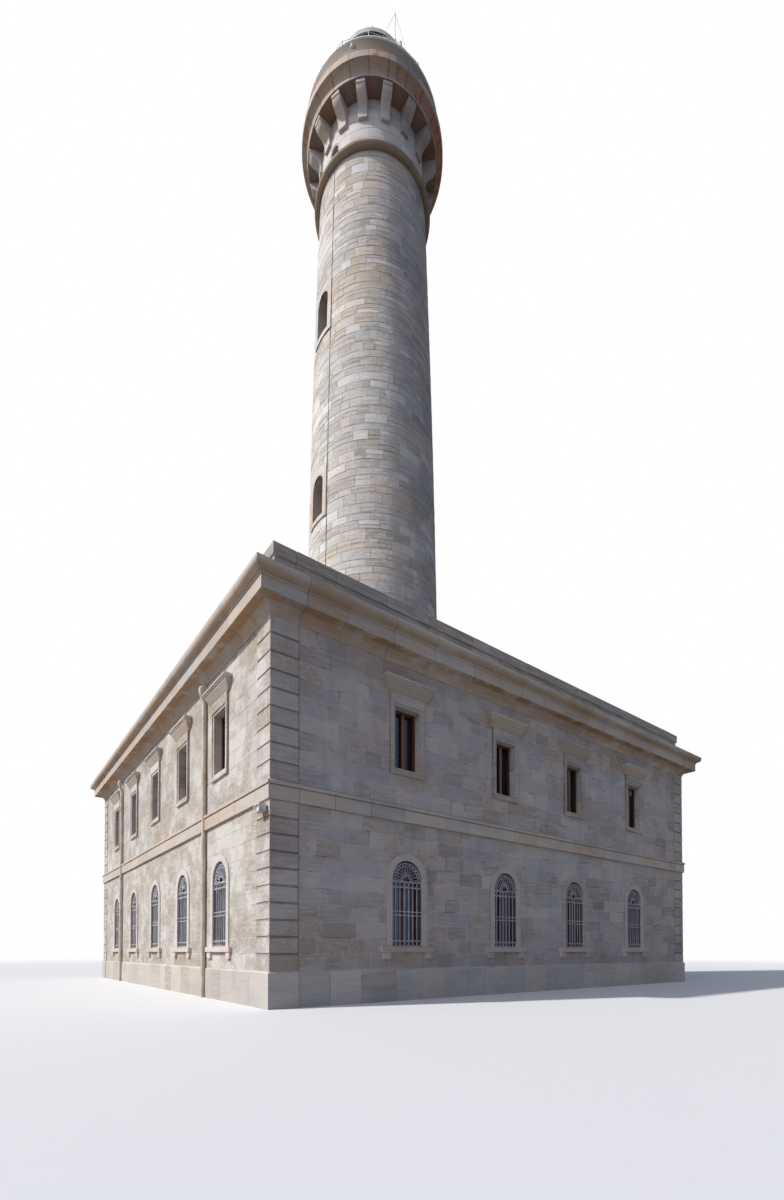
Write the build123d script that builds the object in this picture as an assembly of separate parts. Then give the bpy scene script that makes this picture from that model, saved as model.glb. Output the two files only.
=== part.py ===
from build123d import *
import math
import os

# A stone lighthouse at half its real size, in millimetres: a round tower that rises
# through a two-storey square building. The origin is on the tower's axis at ground level,
# +Z is up, the front faces -Y and the left side faces -X.

# Building plan
building_width = 11420
building_depth = 11500
wall_thickness = 400
pier_width = 410
pier_proud = 15

# Storeys, from the ground up
plinth_height = 500
plinth_out = 25
lower_storey_height = 2300
belt_height = 270
upper_storey_height = 2210
cornice_height = 480
parapet_height = 590
lower_pier_courses = 10
upper_pier_courses = 9
pier_groove = 14

# Belt course: fascia, groove and bead, with a sloped top
belt_fascia_out = 45
belt_groove_out = 32
belt_bead_out = 62
belt_fascia = 185
belt_groove = 15
belt_bead = 40

# Main cornice: bed mould, flat soffit, corona and crown mould
bed_height = 135
bed_out = 125
corona_height = 215
corona_out = 252
corona_band = 35
corona_band_out = 14
crown_out = 356
crown_lip = 35

# Parapet
parapet_set_back = 85
parapet_thickness = 200
coping_height = 170
coping_overhang = 25

# Floors
ground_floor_height = 100
floor_thickness = 150
upper_floor_level = 2950
roof_deck_level = 5600
floor_clearance = 0.4

# Window bays, measured along a side from its middle
front_inner_bay = 1060
front_outer_bay = 3375
side_inner_bay = 1950
side_outer_bay = 3900

# Upper windows
upper_window_width = 500
upper_window_height = 970
upper_sill_level = 3635
architrave_width = 100
architrave_out = 42
architrave_step = 45
architrave_step_out = 24
hood_gap = 105
hood_width = 1000
hood_height = 235
hood_foot_out = 32
hood_out = 140
hood_fillet = 18
hood_riser = 26
hood_slope_height = 130
hood_weathering = 54

# Lower windows, with a half-round head
lower_window_width = 600
lower_sill_level = 840
lower_spring_height = 1060
surround_width = 110
surround_out = 20
sill_width = 1050
sill_thickness = 85
sill_out = 62
sill_bracket_width = 150
sill_bracket_height = 105
sill_bracket_out = 44
sill_bracket_inset = 30

# Wooden casements, set back in the openings, and the glass behind them
reveal_depth = 105
casement_depth = 40
casement_frame = 42
casement_meeting = 60
casement_rail = 36
glass_thickness = 8

# Downpipes on the two sides, each with a neck that leans out and turns back into the wall
downpipe_radius = 38
downpipe_gap = 10
downpipe_place = 3240
neck_bend = 45
neck_reach = 105
neck_end = 25
neck_drop = 55
neck_lean = 145
neck_foot_drop = 295
pipe_clip_height = 40
pipe_clip_out = 8
pipe_clip_shares = (0.25, 0.75)

# Vent pipe on the roof
vent_radius = 32
vent_rise = 450
vent_x = -2450
vent_set_back = 420

# Tower shaft, its outline an arc through three radii
shaft_height = 21400
shaft_foot_radius = 1875
shaft_middle_radius = 1757
shaft_middle_level = 12000
shaft_top_radius = 1475
shaft_lifts = 20
well_radius = 950
window_wall_arc = 45
left_turn = 180

# Tower windows
tower_window_width = 500
tower_window_spring = 850
tower_window_levels = (7100, 12100, 17100)
tower_surround_width = 130
tower_surround_out = 30
tower_sill_height = 120
tower_reveal = 320
seat_gap = 0.3

# Collar, frieze and corbels under the gallery
collar_height = 155
collar_out = 150
collar_fillet = 30
drum_radius = 1425
drum_height = 1245
drum_window_width = 250
drum_window_sill = 40
drum_window_spring = 380
drum_window_turn = 190
corbel_count = 16
corbel_width = 240
corbel_height = 550
corbel_out = 375
corbel_cap = 90
corbel_foot_height = 110
corbel_foot_out = 75

# Places on a corbel's curve, as shares of its run outwards and its rise
corbel_hollow = (0.12, 0.35)
corbel_waist = (0.40, 0.55)
corbel_swell = (0.78, 0.75)
corbel_head_share = 0.94

# Gallery
gallery_height = 400
gallery_foot_radius = 1825
gallery_foot = 50
soffit_hollow = (0.35, 0.65)
gallery_fascia = 150
gallery_radius = 1985
gallery_fascia_out = 20
gallery_wall_height = 550
gallery_wall_radius = 1860
gallery_wall_thickness = 150
gallery_lip = 30
gallery_lip_out = 14
post_count = 16
post_radius = 12
post_height = 250
post_set_back = 75
post_turn = 6.5
wire_radius = 5
wire_rises = (110, 235)

# Lantern
lantern_radius = 1000
lantern_curb_height = 600
lantern_curb_thickness = 120
lantern_glass_height = 1450
lantern_sides = 16
lantern_bar = 36
lantern_bar_depth = 45
lantern_rail_depth = 50
lantern_rail = 60
roof_edge_radius = 1060
roof_edge_width = 120
roof_edge_height = 110
dome_radius = 1030
dome_rise = 640
dome_shell = 20
dome_arc_share = 0.6
ball_radius = 130
ball_neck = 60
ball_neck_radius = 70
rod_radius = 14
rod_height = 900

# Lamps under the belt at two corners and on the gallery wall
lamp_length = 170
lamp_depth = 100
lamp_height = 110
lamp_visor = 12
lamp_recess = 30
lamp_corner_gap = 60
lamp_drop = 60
lamp_bracket = 24
wall_lamp_radius = 55
wall_lamp_turn = 219
wall_lamp_drop = 180
rail_lamp_radius = 40
rail_lamp_height = 150
rail_lamp_turn = 257.5
fitting_set_back = 28

# Swan-neck pipe and aerial on the gallery
swan_radius = 24
swan_circle = 1450
swan_turn = 257
swan_rise = 1280
swan_bend = 130
swan_crown = 2
swan_tail = 60
aerial_radius = 8
aerial_turn = 253
aerial_height = 850
aerial_base = 30
stay_radius = 4
stay_turns = (242, 264)

# Levels worked out from the storeys
half_x = building_width / 2
half_y = building_depth / 2
belt_bottom = plinth_height + lower_storey_height
belt_top = belt_bottom + belt_height
wall_top = belt_top + upper_storey_height
cornice_top = wall_top + cornice_height
parapet_top = cornice_top + parapet_height
coping_foot = parapet_top - coping_height
lower_spring_level = lower_sill_level + lower_spring_height
upper_head_level = upper_sill_level + upper_window_height
hood_foot = upper_head_level + architrave_width + hood_gap
collar_top = shaft_height + collar_height
drum_top = collar_top + drum_height
gallery_floor = drum_top + gallery_height
gallery_wall_top = gallery_floor + gallery_wall_height
curb_top = gallery_floor + lantern_curb_height
lantern_top = curb_top + lantern_glass_height
roof_edge_top = lantern_top + roof_edge_height
dome_top = roof_edge_top + dome_rise
ball_centre = dome_top + ball_neck + ball_radius

front_bays = (-front_outer_bay, -front_inner_bay, front_inner_bay, front_outer_bay)
side_bays = (-side_outer_bay, -side_inner_bay, 0, side_inner_bay, side_outer_bay)

# Each side: its turn about the tower's axis, how far out its wall face is, half its
# length and its window bays
sides = {
    "front": (0, half_y, half_x, front_bays),
    "left": (-90, half_x, half_y, side_bays),
    "back": (180, half_y, half_x, front_bays),
    "right": (90, half_x, half_y, side_bays),
}
corners = ((-1, -1, 0), (1, -1, 90), (1, 1, 180), (-1, 1, 270))

parts = {}


# Shared shapes


def outline(start, *steps):
    """A closed face: a step of one point is a line, a step of two points is an arc."""
    edges = []
    here = start
    for step in steps:
        if isinstance(step[0], tuple):
            edges.append(ThreePointArc(here, step[0], step[1]))
            here = step[1]
        else:
            edges.append(Line(here, step))
            here = step
    if here != start:
        edges.append(Line(here, start))
    return make_face(edges)


def block(x0, x1, y0, y1, z0, z1):
    """A box between two corners."""
    middle = Pos((x0 + x1) / 2, (y0 + y1) / 2, (z0 + z1) / 2)
    return middle * Box(x1 - x0, y1 - y0, z1 - z0)


def moulding(profile, x0, x1, face_y):
    """A profile of (outward, up) points run along the front wall face."""
    plane = Plane(origin=(x0, -face_y, 0), x_dir=(0, -1, 0), z_dir=(-1, 0, 0))
    return extrude(plane * profile, amount=x1 - x0, dir=(1, 0, 0))


def prism(face, y0, y1):
    """A face of (across, up) points run inwards from y0 to y1."""
    plane = Plane(origin=(0, y0, 0), x_dir=(1, 0, 0), z_dir=(0, -1, 0))
    return extrude(plane * face, amount=y1 - y0, dir=(0, 1, 0))


def returned(points, half_width, face_y):
    """A moulding of (outward, up) points that returns to the wall at both ends."""
    foot = points[0][1]
    head = points[-1][1]
    reach = half_width + wall_thickness
    front = outline((0, foot), *points, (0, head))
    right = [(half_width + out, level) for out, level in points]
    left = [(-half_width - out, level) for out, level in reversed(points)]
    across = make_face(Polyline(*right, *left, close=True))
    return moulding(front, -reach, reach, face_y) & prism(across, -face_y - reach, -face_y)


def corner_block(profile):
    """A corner stone with the same (outward, up) profile on its two outer sides."""
    reach = pier_width + crown_out
    across = moulding(profile, -reach, reach, 0)
    plane = Plane(origin=(0, -reach, 0), x_dir=(-1, 0, 0), z_dir=(0, 1, 0))
    along = extrude(plane * profile, amount=2 * reach, dir=(0, 1, 0))
    return across & along


def at_corners(stone):
    """The same corner stone at the four corners of the building."""
    return [Pos(sx * half_x, sy * half_y, 0) * Rot(0, 0, turn) * stone for sx, sy, turn in corners]


def on_sides(make, names=tuple(sides)):
    """What make(face_y, half_length, bays) gives, on each named side."""
    found = []
    for name in names:
        turn, face_y, half_length, bays = sides[name]
        found += [Rot(0, 0, turn) * piece for piece in make(face_y, half_length, bays)]
    return found


def in_bays(solid, bays):
    """A copy of a solid in each window bay."""
    return [Pos(bay, 0, 0) * solid for bay in bays]


def turned(face, arc=360, start=0):
    """A face of (radius, up) points turned about the tower's axis."""
    return Rot(0, 0, start) * revolve(Plane.XZ * face, Axis.Z, arc)


def arch(width, sill, spring):
    """An opening with upright sides and a half-round head."""
    half = width / 2
    crown = spring + half
    return outline((-half, sill), (half, sill), (half, spring), ((0, crown), (-half, spring)))


def oblong(width, sill, head):
    """A rectangular opening."""
    half = width / 2
    return outline((-half, sill), (half, sill), (half, head), (-half, head))


def pipe_channels(face_y, bays):
    """The room that the downpipes of a side take in its mouldings; only two sides have them."""
    if bays is front_bays:
        return []
    out = downpipe_radius + downpipe_gap
    channel = Pos(0, -face_y - out, wall_top / 2) * Cylinder(downpipe_radius + seat_gap, wall_top)
    return in_bays(channel, (-downpipe_place, downpipe_place))


# Walls: each side is laid up in upright strips, with stones over and under its windows


def plinth_run(face_y, half_length, bays):
    end = half_length - pier_width
    profile = outline(
        (-wall_thickness, 0),
        (plinth_out, 0),
        (plinth_out, plinth_height - plinth_out),
        (0, plinth_height),
        (-wall_thickness, plinth_height),
    )
    return [moulding(profile, -end, end, face_y) - pipe_channels(face_y, bays)]


def wall_strips(face_y, half_length, bays):
    end = half_length - pier_width
    inside = -face_y + wall_thickness
    found = []
    storeys = (
        (plinth_height, belt_bottom, lower_window_width),
        (belt_top, wall_top, upper_window_width),
    )
    for foot, head, width in storeys:
        edges = [-end]
        for bay in bays:
            edges += [bay - width / 2, bay + width / 2]
        edges.append(end)
        for x0, x1 in zip(edges[::2], edges[1::2]):
            found.append(block(x0, x1, -face_y, inside, foot, head))
    return found


def wall_bays(face_y, half_length, bays):
    inside = -face_y + wall_thickness
    half_lower = lower_window_width / 2
    half_upper = upper_window_width / 2
    arch_stone = outline(
        (-half_lower, lower_spring_level),
        ((0, lower_spring_level + half_lower), (half_lower, lower_spring_level)),
        (half_lower, belt_bottom),
        (-half_lower, belt_bottom),
    )
    stones = [
        block(-half_lower, half_lower, -face_y, inside, plinth_height, lower_sill_level),
        prism(arch_stone, -face_y, inside),
        block(-half_upper, half_upper, -face_y, inside, belt_top, upper_sill_level),
        block(-half_upper, half_upper, -face_y, inside, upper_head_level, wall_top),
    ]
    return [piece for stone in stones for piece in in_bays(stone, bays)]


def pier_profile(foot, head, courses):
    """A corner pier's outline, with a groove at each bed joint."""
    steps = []
    for course in range(1, courses):
        joint = foot + (head - foot) * course / courses
        steps += [
            (pier_proud, joint - pier_groove),
            (pier_proud - pier_groove, joint),
            (pier_proud, joint + pier_groove),
        ]
    return outline(
        (-pier_width, foot),
        (pier_proud, foot),
        *steps,
        (pier_proud, head),
        (-pier_width, head),
    )


plinth_block = outline(
    (-pier_width, 0),
    (pier_proud + plinth_out, 0),
    (pier_proud + plinth_out, plinth_height - plinth_out),
    (pier_proud, plinth_height),
    (-pier_width, plinth_height),
)
parts["plinth"] = on_sides(plinth_run)
for name in sides:
    parts[name + "_wall"] = on_sides(wall_strips, [name])
    parts[name + "_wall_bays"] = on_sides(wall_bays, [name])
lower_pier = corner_block(pier_profile(plinth_height, belt_bottom, lower_pier_courses))
upper_pier = corner_block(pier_profile(belt_top, wall_top, upper_pier_courses))
parts["corner_piers"] = at_corners(lower_pier) + at_corners(upper_pier)


# Belt course, cornice and parapet: a run on each side between corner stones


def belt_profile(back):
    fascia_top = belt_bottom + belt_fascia
    bead_foot = fascia_top + belt_groove
    return outline(
        (-back, belt_bottom),
        (belt_fascia_out, belt_bottom),
        (belt_fascia_out, fascia_top),
        (belt_groove_out, fascia_top),
        (belt_groove_out, bead_foot),
        (belt_bead_out, bead_foot),
        (belt_bead_out, bead_foot + belt_bead),
        (pier_proud, belt_top),
        (-back, belt_top),
    )


def cornice_profile(back):
    bed_top = wall_top + bed_height
    corona_top = bed_top + corona_height
    crown_foot = corona_out + corona_band_out
    crown_head = cornice_top - crown_lip
    bow = (crown_out - crown_foot) / 4
    crown_middle = ((crown_foot + crown_out) / 2 + bow, (corona_top + crown_head) / 2 - bow)
    bed_middle = ((pier_proud + bed_out) / 2 - bow / 2, (wall_top + bed_top) / 2 + bow / 2)
    return outline(
        (-back, wall_top),
        (pier_proud, wall_top),
        (bed_middle, (bed_out, bed_top)),
        (corona_out, bed_top),
        (corona_out, corona_top - corona_band),
        (crown_foot, corona_top - corona_band),
        (crown_foot, corona_top),
        (crown_middle, (crown_out, crown_head)),
        (crown_out, cornice_top),
        (-back, cornice_top),
    )


def run_of(profile):
    """A maker of one run of a profile between the corner stones of a side."""

    def make(face_y, half_length, bays):
        end = half_length - pier_width
        return [moulding(profile, -end, end, face_y)]

    return make


parapet_face = -parapet_set_back
parapet_back = parapet_face - parapet_thickness
parapet_run = outline(
    (parapet_back, cornice_top),
    (parapet_face, cornice_top),
    (parapet_face, coping_foot),
    (parapet_face + coping_overhang, coping_foot),
    (parapet_face + coping_overhang, parapet_top),
    (parapet_back - coping_overhang, parapet_top),
    (parapet_back - coping_overhang, coping_foot),
    (parapet_back, coping_foot),
)
parapet_post = outline(
    (-pier_width, cornice_top),
    (parapet_face, cornice_top),
    (parapet_face, coping_foot),
    (parapet_face + coping_overhang, coping_foot),
    (parapet_face + coping_overhang, parapet_top),
    (-pier_width, parapet_top),
)


def belt_run(face_y, half_length, bays):
    run = run_of(belt_profile(wall_thickness))(face_y, half_length, bays)
    return [piece - pipe_channels(face_y, bays) for piece in run]


parts["belt_course"] = on_sides(belt_run)
parts["cornice"] = on_sides(run_of(cornice_profile(wall_thickness)))
parts["corner_stones"] = []
for profile in (plinth_block, belt_profile(pier_width), cornice_profile(pier_width)):
    parts["corner_stones"] += at_corners(corner_block(profile))
parts["parapet"] = on_sides(run_of(parapet_run))
parts["parapet_corners"] = at_corners(corner_block(parapet_post))


# Tower shaft in four segments: two narrow ones hold the windows


def radius_at(level):
    """The shaft's outer radius, on the parabola through its three given radii."""
    low = (level - shaft_middle_level) * (level - shaft_height) / (shaft_middle_level * shaft_height)
    middle = level * (shaft_height - level) / (shaft_middle_level * (shaft_height - shaft_middle_level))
    high = level * (level - shaft_middle_level) / (shaft_height * (shaft_height - shaft_middle_level))
    return shaft_foot_radius * low + shaft_middle_radius * middle + shaft_top_radius * high


def shaft_face(inner, outer_gap, foot, head):
    """The shaft's upright section from an inner radius to a little past its outer side."""
    levels = [foot + (head - foot) * lift / shaft_lifts for lift in range(shaft_lifts + 1)]
    outer = [(radius_at(level) + outer_gap, level) for level in levels]
    return outline((inner, foot), *outer, (inner, head))


def surround_face(foot, head):
    """The section of a raised surround that follows the shaft's bowed side."""
    middle = (foot + head) / 2
    return outline(
        (radius_at(foot) + seat_gap, foot),
        (radius_at(foot) + tower_surround_out, foot),
        (radius_at(middle) + tower_surround_out, middle),
        (radius_at(head) + tower_surround_out, head),
        (radius_at(head) + seat_gap, head),
        (radius_at(middle) + seat_gap, middle),
    )


wide_arc = 180 - window_wall_arc
tower_section = shaft_face(well_radius, 0, 0, shaft_height)
window_wall = turned(tower_section, window_wall_arc, left_turn - window_wall_arc / 2)
surrounds = []
panes = []
surround_half = tower_window_width / 2 + tower_surround_width
for level in tower_window_levels:
    spring = level + tower_window_spring
    hole = arch(tower_window_width, level, spring)
    through = Rot(0, 0, -90) * prism(hole, -2 * shaft_foot_radius, 0)
    window_wall = window_wall - through
    foot = level - tower_sill_height
    head = spring + surround_half
    arc = 2 * math.degrees(math.asin(surround_half / radius_at(level)))
    surrounds.append(turned(surround_face(foot, head), arc, left_turn - arc / 2) - through)
    pane_y = -radius_at(level) + tower_reveal
    pane = prism(hole, pane_y, pane_y + glass_thickness)
    panes += [Rot(0, 0, -90) * pane, Rot(0, 0, 90) * pane]
front_segment = turned(tower_section, wide_arc, left_turn + window_wall_arc / 2)
parts["tower_front_wall"] = [front_segment]
parts["tower_back_wall"] = [Rot(0, 0, 180) * front_segment]
parts["tower_window_walls"] = [window_wall, Rot(0, 0, 180) * window_wall]
parts["tower_window_surrounds"] = surrounds + [Rot(0, 0, 180) * piece for piece in surrounds]


# Floors, each with a round hole where the tower passes through


def floor(foot, head):
    """A floor between the walls that clears the tower and the corner piers."""
    across = half_x - wall_thickness
    along = half_y - wall_thickness
    slab = block(-across, across, -along, along, foot, head)
    notch = pier_width - wall_thickness
    for sx, sy, turn in corners:
        slab = slab - Pos(sx * across, sy * along, foot) * Box(2 * notch, 2 * notch, 2 * head)
    return [slab - turned(shaft_face(0, floor_clearance, 0, shaft_height))]


well_floor = Cylinder(well_radius - floor_clearance, ground_floor_height)
well_floor = Pos(0, 0, ground_floor_height / 2) * well_floor
parts["ground_floor"] = floor(0, ground_floor_height) + [well_floor]
parts["upper_floor"] = floor(upper_floor_level - floor_thickness, upper_floor_level)
parts["roof_deck"] = floor(roof_deck_level - floor_thickness, roof_deck_level)


# Windows


def upper_surrounds(face_y, half_length, bays):
    outer = oblong(upper_window_width + 2 * architrave_width, upper_sill_level - architrave_width, hood_foot)
    stepped = oblong(
        upper_window_width + 2 * architrave_step,
        upper_sill_level - architrave_step,
        upper_head_level + architrave_step,
    )
    opening = oblong(upper_window_width, upper_sill_level, upper_head_level)
    frame = prism(outer, -face_y - architrave_out, -face_y)
    frame = frame - prism(stepped, -face_y - architrave_out, -face_y - architrave_step_out)
    return in_bays(frame - prism(opening, -face_y - architrave_out, -face_y), bays)


def upper_hoods(face_y, half_length, bays):
    slope_top = hood_foot + hood_slope_height
    crown_foot = slope_top + 2 * hood_riser
    hood_top = hood_foot + hood_height
    points = (
        (hood_foot_out, hood_foot),
        (hood_foot_out + hood_fillet, hood_foot + hood_riser),
        (hood_out - 2 * hood_fillet, slope_top),
        (hood_out - 2 * hood_fillet, slope_top + hood_riser),
        (hood_out - hood_fillet, slope_top + hood_riser),
        (hood_out - hood_fillet, crown_foot),
        (hood_out, crown_foot),
        (hood_out, hood_top - hood_fillet),
        (hood_out - hood_weathering, hood_top),
    )
    return in_bays(returned(points, hood_width / 2 - hood_out, face_y), bays)


def lower_surrounds(face_y, half_length, bays):
    outer = arch(lower_window_width + 2 * surround_width, lower_sill_level, lower_spring_level)
    inner = arch(lower_window_width, lower_sill_level, lower_spring_level)
    return in_bays(prism(outer - inner, -face_y - surround_out, -face_y), bays)


def lower_sills(face_y, half_length, bays):
    half = sill_width / 2
    foot = lower_sill_level - sill_thickness
    sill = block(-half, half, -face_y - sill_out, -face_y, foot, lower_sill_level)
    middle = half - sill_bracket_inset - sill_bracket_width / 2
    for side in (-1, 1):
        x0 = side * middle - sill_bracket_width / 2
        x1 = side * middle + sill_bracket_width / 2
        sill = sill + block(x0, x1, -face_y - sill_bracket_out, -face_y, foot - sill_bracket_height, foot)
    return in_bays(sill, bays)


def upper_casements(face_y, half_length, bays):
    front = -face_y + reveal_depth
    leaf = (upper_window_width - casement_meeting) / 2 - casement_frame
    middle = (casement_meeting + leaf) / 2
    frame = oblong(upper_window_width, upper_sill_level, upper_head_level)
    pane = oblong(leaf, upper_sill_level + casement_frame, upper_head_level - casement_frame)
    for side in (-1, 1):
        frame = frame - Pos(side * middle, 0) * pane
    return in_bays(prism(frame, front, front + casement_depth), bays)


def lower_casements(face_y, half_length, bays):
    front = -face_y + reveal_depth
    leaf = (lower_window_width - casement_meeting) / 2 - casement_frame
    middle = (casement_meeting + leaf) / 2
    rail = casement_rail / 2
    frame = arch(lower_window_width, lower_sill_level, lower_spring_level)
    pane = oblong(leaf, lower_sill_level + casement_frame, lower_spring_level - rail)
    for side in (-1, 1):
        frame = frame - Pos(side * middle, 0) * pane
    fan_radius = lower_window_width / 2 - casement_frame
    fan_end = math.sqrt(fan_radius**2 - rail**2)
    crown = (0, lower_spring_level + fan_radius)
    fan = outline((fan_end, lower_spring_level + rail), (crown, (-fan_end, lower_spring_level + rail)))
    return in_bays(prism(frame - fan, front, front + casement_depth), bays)


def upper_panes(face_y, half_length, bays):
    front = -face_y + reveal_depth + casement_depth
    pane = oblong(upper_window_width, upper_sill_level, upper_head_level)
    return in_bays(prism(pane, front, front + glass_thickness), bays)


def lower_panes(face_y, half_length, bays):
    front = -face_y + reveal_depth + casement_depth
    pane = arch(lower_window_width, lower_sill_level, lower_spring_level)
    return in_bays(prism(pane, front, front + glass_thickness), bays)


parts["upper_architraves"] = on_sides(upper_surrounds)
parts["upper_hoods"] = on_sides(upper_hoods)
parts["lower_arch_surrounds"] = on_sides(lower_surrounds)
parts["lower_sills"] = on_sides(lower_sills)
parts["upper_casements"] = on_sides(upper_casements)
parts["lower_casements"] = on_sides(lower_casements)
parts["window_glass"] = on_sides(upper_panes) + on_sides(lower_panes)


# Downpipes, from an elbow under the cornice to the ground, and the vent on the roof


def downpipes(face_y, half_length, bays):
    """A pipe close to the wall, its neck swept along a route of (out, up) points."""
    out = downpipe_radius + downpipe_gap
    crown = wall_top - neck_drop
    lean_foot = wall_top - neck_foot_drop
    route = [
        (out, 0),
        (out, lean_foot),
        (neck_reach, lean_foot + neck_lean),
        (neck_reach, crown),
        (neck_end, crown),
        (neck_end - out, crown - neck_reach),
    ]
    path = FilletPolyline(*[(0, -face_y - away, level) for away, level in route], radius=neck_bend)
    pipe = sweep(Plane(origin=path @ 0, z_dir=path % 0) * Circle(downpipe_radius), path=path)
    pipe = pipe - block(-out, out, -face_y, -face_y + 2 * out, 0, wall_top)
    storeys = ((plinth_height, lower_storey_height), (belt_top, upper_storey_height))
    for level in [foot + rise * share for foot, rise in storeys for share in pipe_clip_shares]:
        clip = Cylinder(downpipe_radius + pipe_clip_out, pipe_clip_height)
        low = level - pipe_clip_out
        high = level + pipe_clip_out
        pipe = pipe + Pos(0, -face_y - out, level) * clip
        pipe = pipe + block(-pipe_clip_out, pipe_clip_out, -face_y - out, -face_y, low, high)
    return [Pos(side * downpipe_place, 0, 0) * pipe for side in (-1, 1)]


vent_top = parapet_top + vent_rise
vent_height = vent_top - roof_deck_level
vent_y = -half_y - parapet_back + vent_set_back
parts["downpipes"] = on_sides(downpipes, ["left", "right"])
parts["roof_vent_pipe"] = [
    Pos(vent_x, vent_y, roof_deck_level + vent_height / 2) * Cylinder(vent_radius, vent_height)
]


# Tower head: collar, frieze drum, corbels and gallery

collar_roll = shaft_top_radius + collar_out
collar_section = outline(
    (well_radius, shaft_height),
    (shaft_top_radius + collar_fillet, shaft_height),
    (
        (collar_roll, shaft_height + collar_height / 2),
        (shaft_top_radius + 2 * collar_fillet, collar_top - collar_fillet),
    ),
    (shaft_top_radius + 3 * collar_fillet, collar_top - collar_fillet),
    (shaft_top_radius + 3 * collar_fillet, collar_top),
    (well_radius, collar_top),
)
parts["collar_ring"] = [turned(collar_section)]

drum_section = outline(
    (well_radius, collar_top),
    (drum_radius, collar_top),
    (drum_radius, drum_top),
    (well_radius, drum_top),
)
drum_sill = collar_top + drum_window_sill
drum_hole = arch(drum_window_width, drum_sill, drum_sill + drum_window_spring)
drum_turn = Rot(0, 0, drum_window_turn + 90)
drum_pane_y = -drum_radius + reveal_depth
parts["frieze_drum"] = [turned(drum_section) - drum_turn * prism(drum_hole, -2 * drum_radius, 0)]
panes.append(drum_turn * prism(drum_hole, drum_pane_y, drum_pane_y + glass_thickness))
parts["tower_glass"] = panes

corbel_back = drum_radius * math.cos(math.asin(corbel_width / 2 / drum_radius)) - 1
corbel_low = drum_top - corbel_height
curve_foot = corbel_low + corbel_foot_height
curve_head = drum_top - corbel_cap
curve_rise = curve_head - curve_foot
curve_run = corbel_out - corbel_foot_out


def corbel_point(across, up):
    """A point on a corbel's curve, by its shares of the run outwards and of the rise."""
    return (drum_radius + corbel_foot_out + curve_run * across, curve_foot + curve_rise * up)


corbel_section = outline(
    (corbel_back, corbel_low),
    (drum_radius + corbel_foot_out, corbel_low),
    (drum_radius + corbel_foot_out, curve_foot),
    (corbel_point(*corbel_hollow), corbel_point(*corbel_waist)),
    (corbel_point(*corbel_swell), corbel_point(corbel_head_share, 1)),
    (drum_radius + corbel_out, curve_head),
    (drum_radius + corbel_out, drum_top),
    (corbel_back, drum_top),
)
corbel = extrude(Plane.XZ * corbel_section, amount=corbel_width / 2, both=True)
corbel = corbel - Pos(0, 0, drum_top / 2) * Cylinder(drum_radius + seat_gap, drum_top)
parts["gallery_corbels"] = [Rot(0, 0, 360 * k / corbel_count) * corbel for k in range(corbel_count)]

fascia_foot = gallery_floor - gallery_fascia
soffit_edge = gallery_radius - gallery_fascia_out
soffit_foot = drum_top + gallery_foot
gallery_section = outline(
    (0, drum_top),
    (gallery_foot_radius, drum_top),
    (gallery_foot_radius, soffit_foot),
    (
        (
            gallery_foot_radius + (soffit_edge - gallery_foot_radius) * soffit_hollow[0],
            soffit_foot + (fascia_foot - soffit_foot) * soffit_hollow[1],
        ),
        (soffit_edge, fascia_foot),
    ),
    (gallery_radius, fascia_foot),
    (gallery_radius, gallery_floor),
    (0, gallery_floor),
)
parts["gallery_slab"] = [turned(gallery_section)]

gallery_wall_inner = gallery_wall_radius - gallery_wall_thickness
gallery_wall_section = outline(
    (gallery_wall_inner, gallery_floor),
    (gallery_wall_radius, gallery_floor),
    (gallery_wall_radius, gallery_wall_top - gallery_lip),
    (gallery_wall_radius + gallery_lip_out, gallery_wall_top - gallery_lip),
    (gallery_wall_radius + gallery_lip_out, gallery_wall_top),
    (gallery_wall_inner, gallery_wall_top),
)
parts["gallery_parapet"] = [turned(gallery_wall_section)]

post_circle = gallery_wall_radius - post_set_back
post_step = 360 / post_count
post = Pos(post_circle, 0, gallery_wall_top + post_height / 2) * Cylinder(post_radius, post_height)
parts["railing_posts"] = [Rot(0, 0, post_turn + k * post_step) * post for k in range(post_count)]
bay_half = math.radians(post_step / 2)
wire_length = 2 * (post_circle * math.sin(bay_half) - post_radius - seat_gap)
wire_place = Pos(post_circle * math.cos(bay_half), -wire_length / 2, gallery_wall_top)
wire = extrude(Plane.XZ * RegularPolygon(wire_radius, 6), amount=wire_length, dir=(0, 1, 0))
parts["railing_wires"] = [
    Rot(0, 0, post_turn + (k + 0.5) * post_step) * wire_place * Pos(0, 0, rise) * wire
    for rise in wire_rises
    for k in range(post_count)
]


# Lantern


def sided_ring(outer, inner, z0, z1):
    """A ring with flat sides, its corners at the lantern's upright bars."""
    plan = RegularPolygon(outer, lantern_sides) - RegularPolygon(inner, lantern_sides)
    return Pos(0, 0, z0) * extrude(plan, amount=z1 - z0)


curb_section = outline(
    (lantern_radius - lantern_curb_thickness, gallery_floor),
    (lantern_radius, gallery_floor),
    (lantern_radius, curb_top),
    (lantern_radius - lantern_curb_thickness, curb_top),
)
parts["lantern_curb"] = [turned(curb_section)]

bar_inner = lantern_radius - lantern_rail_depth
frame = sided_ring(lantern_radius, bar_inner, curb_top, curb_top + lantern_rail)
frame = frame + sided_ring(lantern_radius, bar_inner, lantern_top - lantern_rail, lantern_top)
bar_place = Pos(bar_inner + lantern_bar_depth / 2, 0, (curb_top + lantern_top) / 2)
bar = bar_place * Box(lantern_bar_depth, lantern_bar, lantern_glass_height)
side_angle = 360 / lantern_sides
for k in range(lantern_sides):
    frame = frame + Rot(0, 0, k * side_angle) * bar
parts["lantern_frame"] = [frame]

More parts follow.
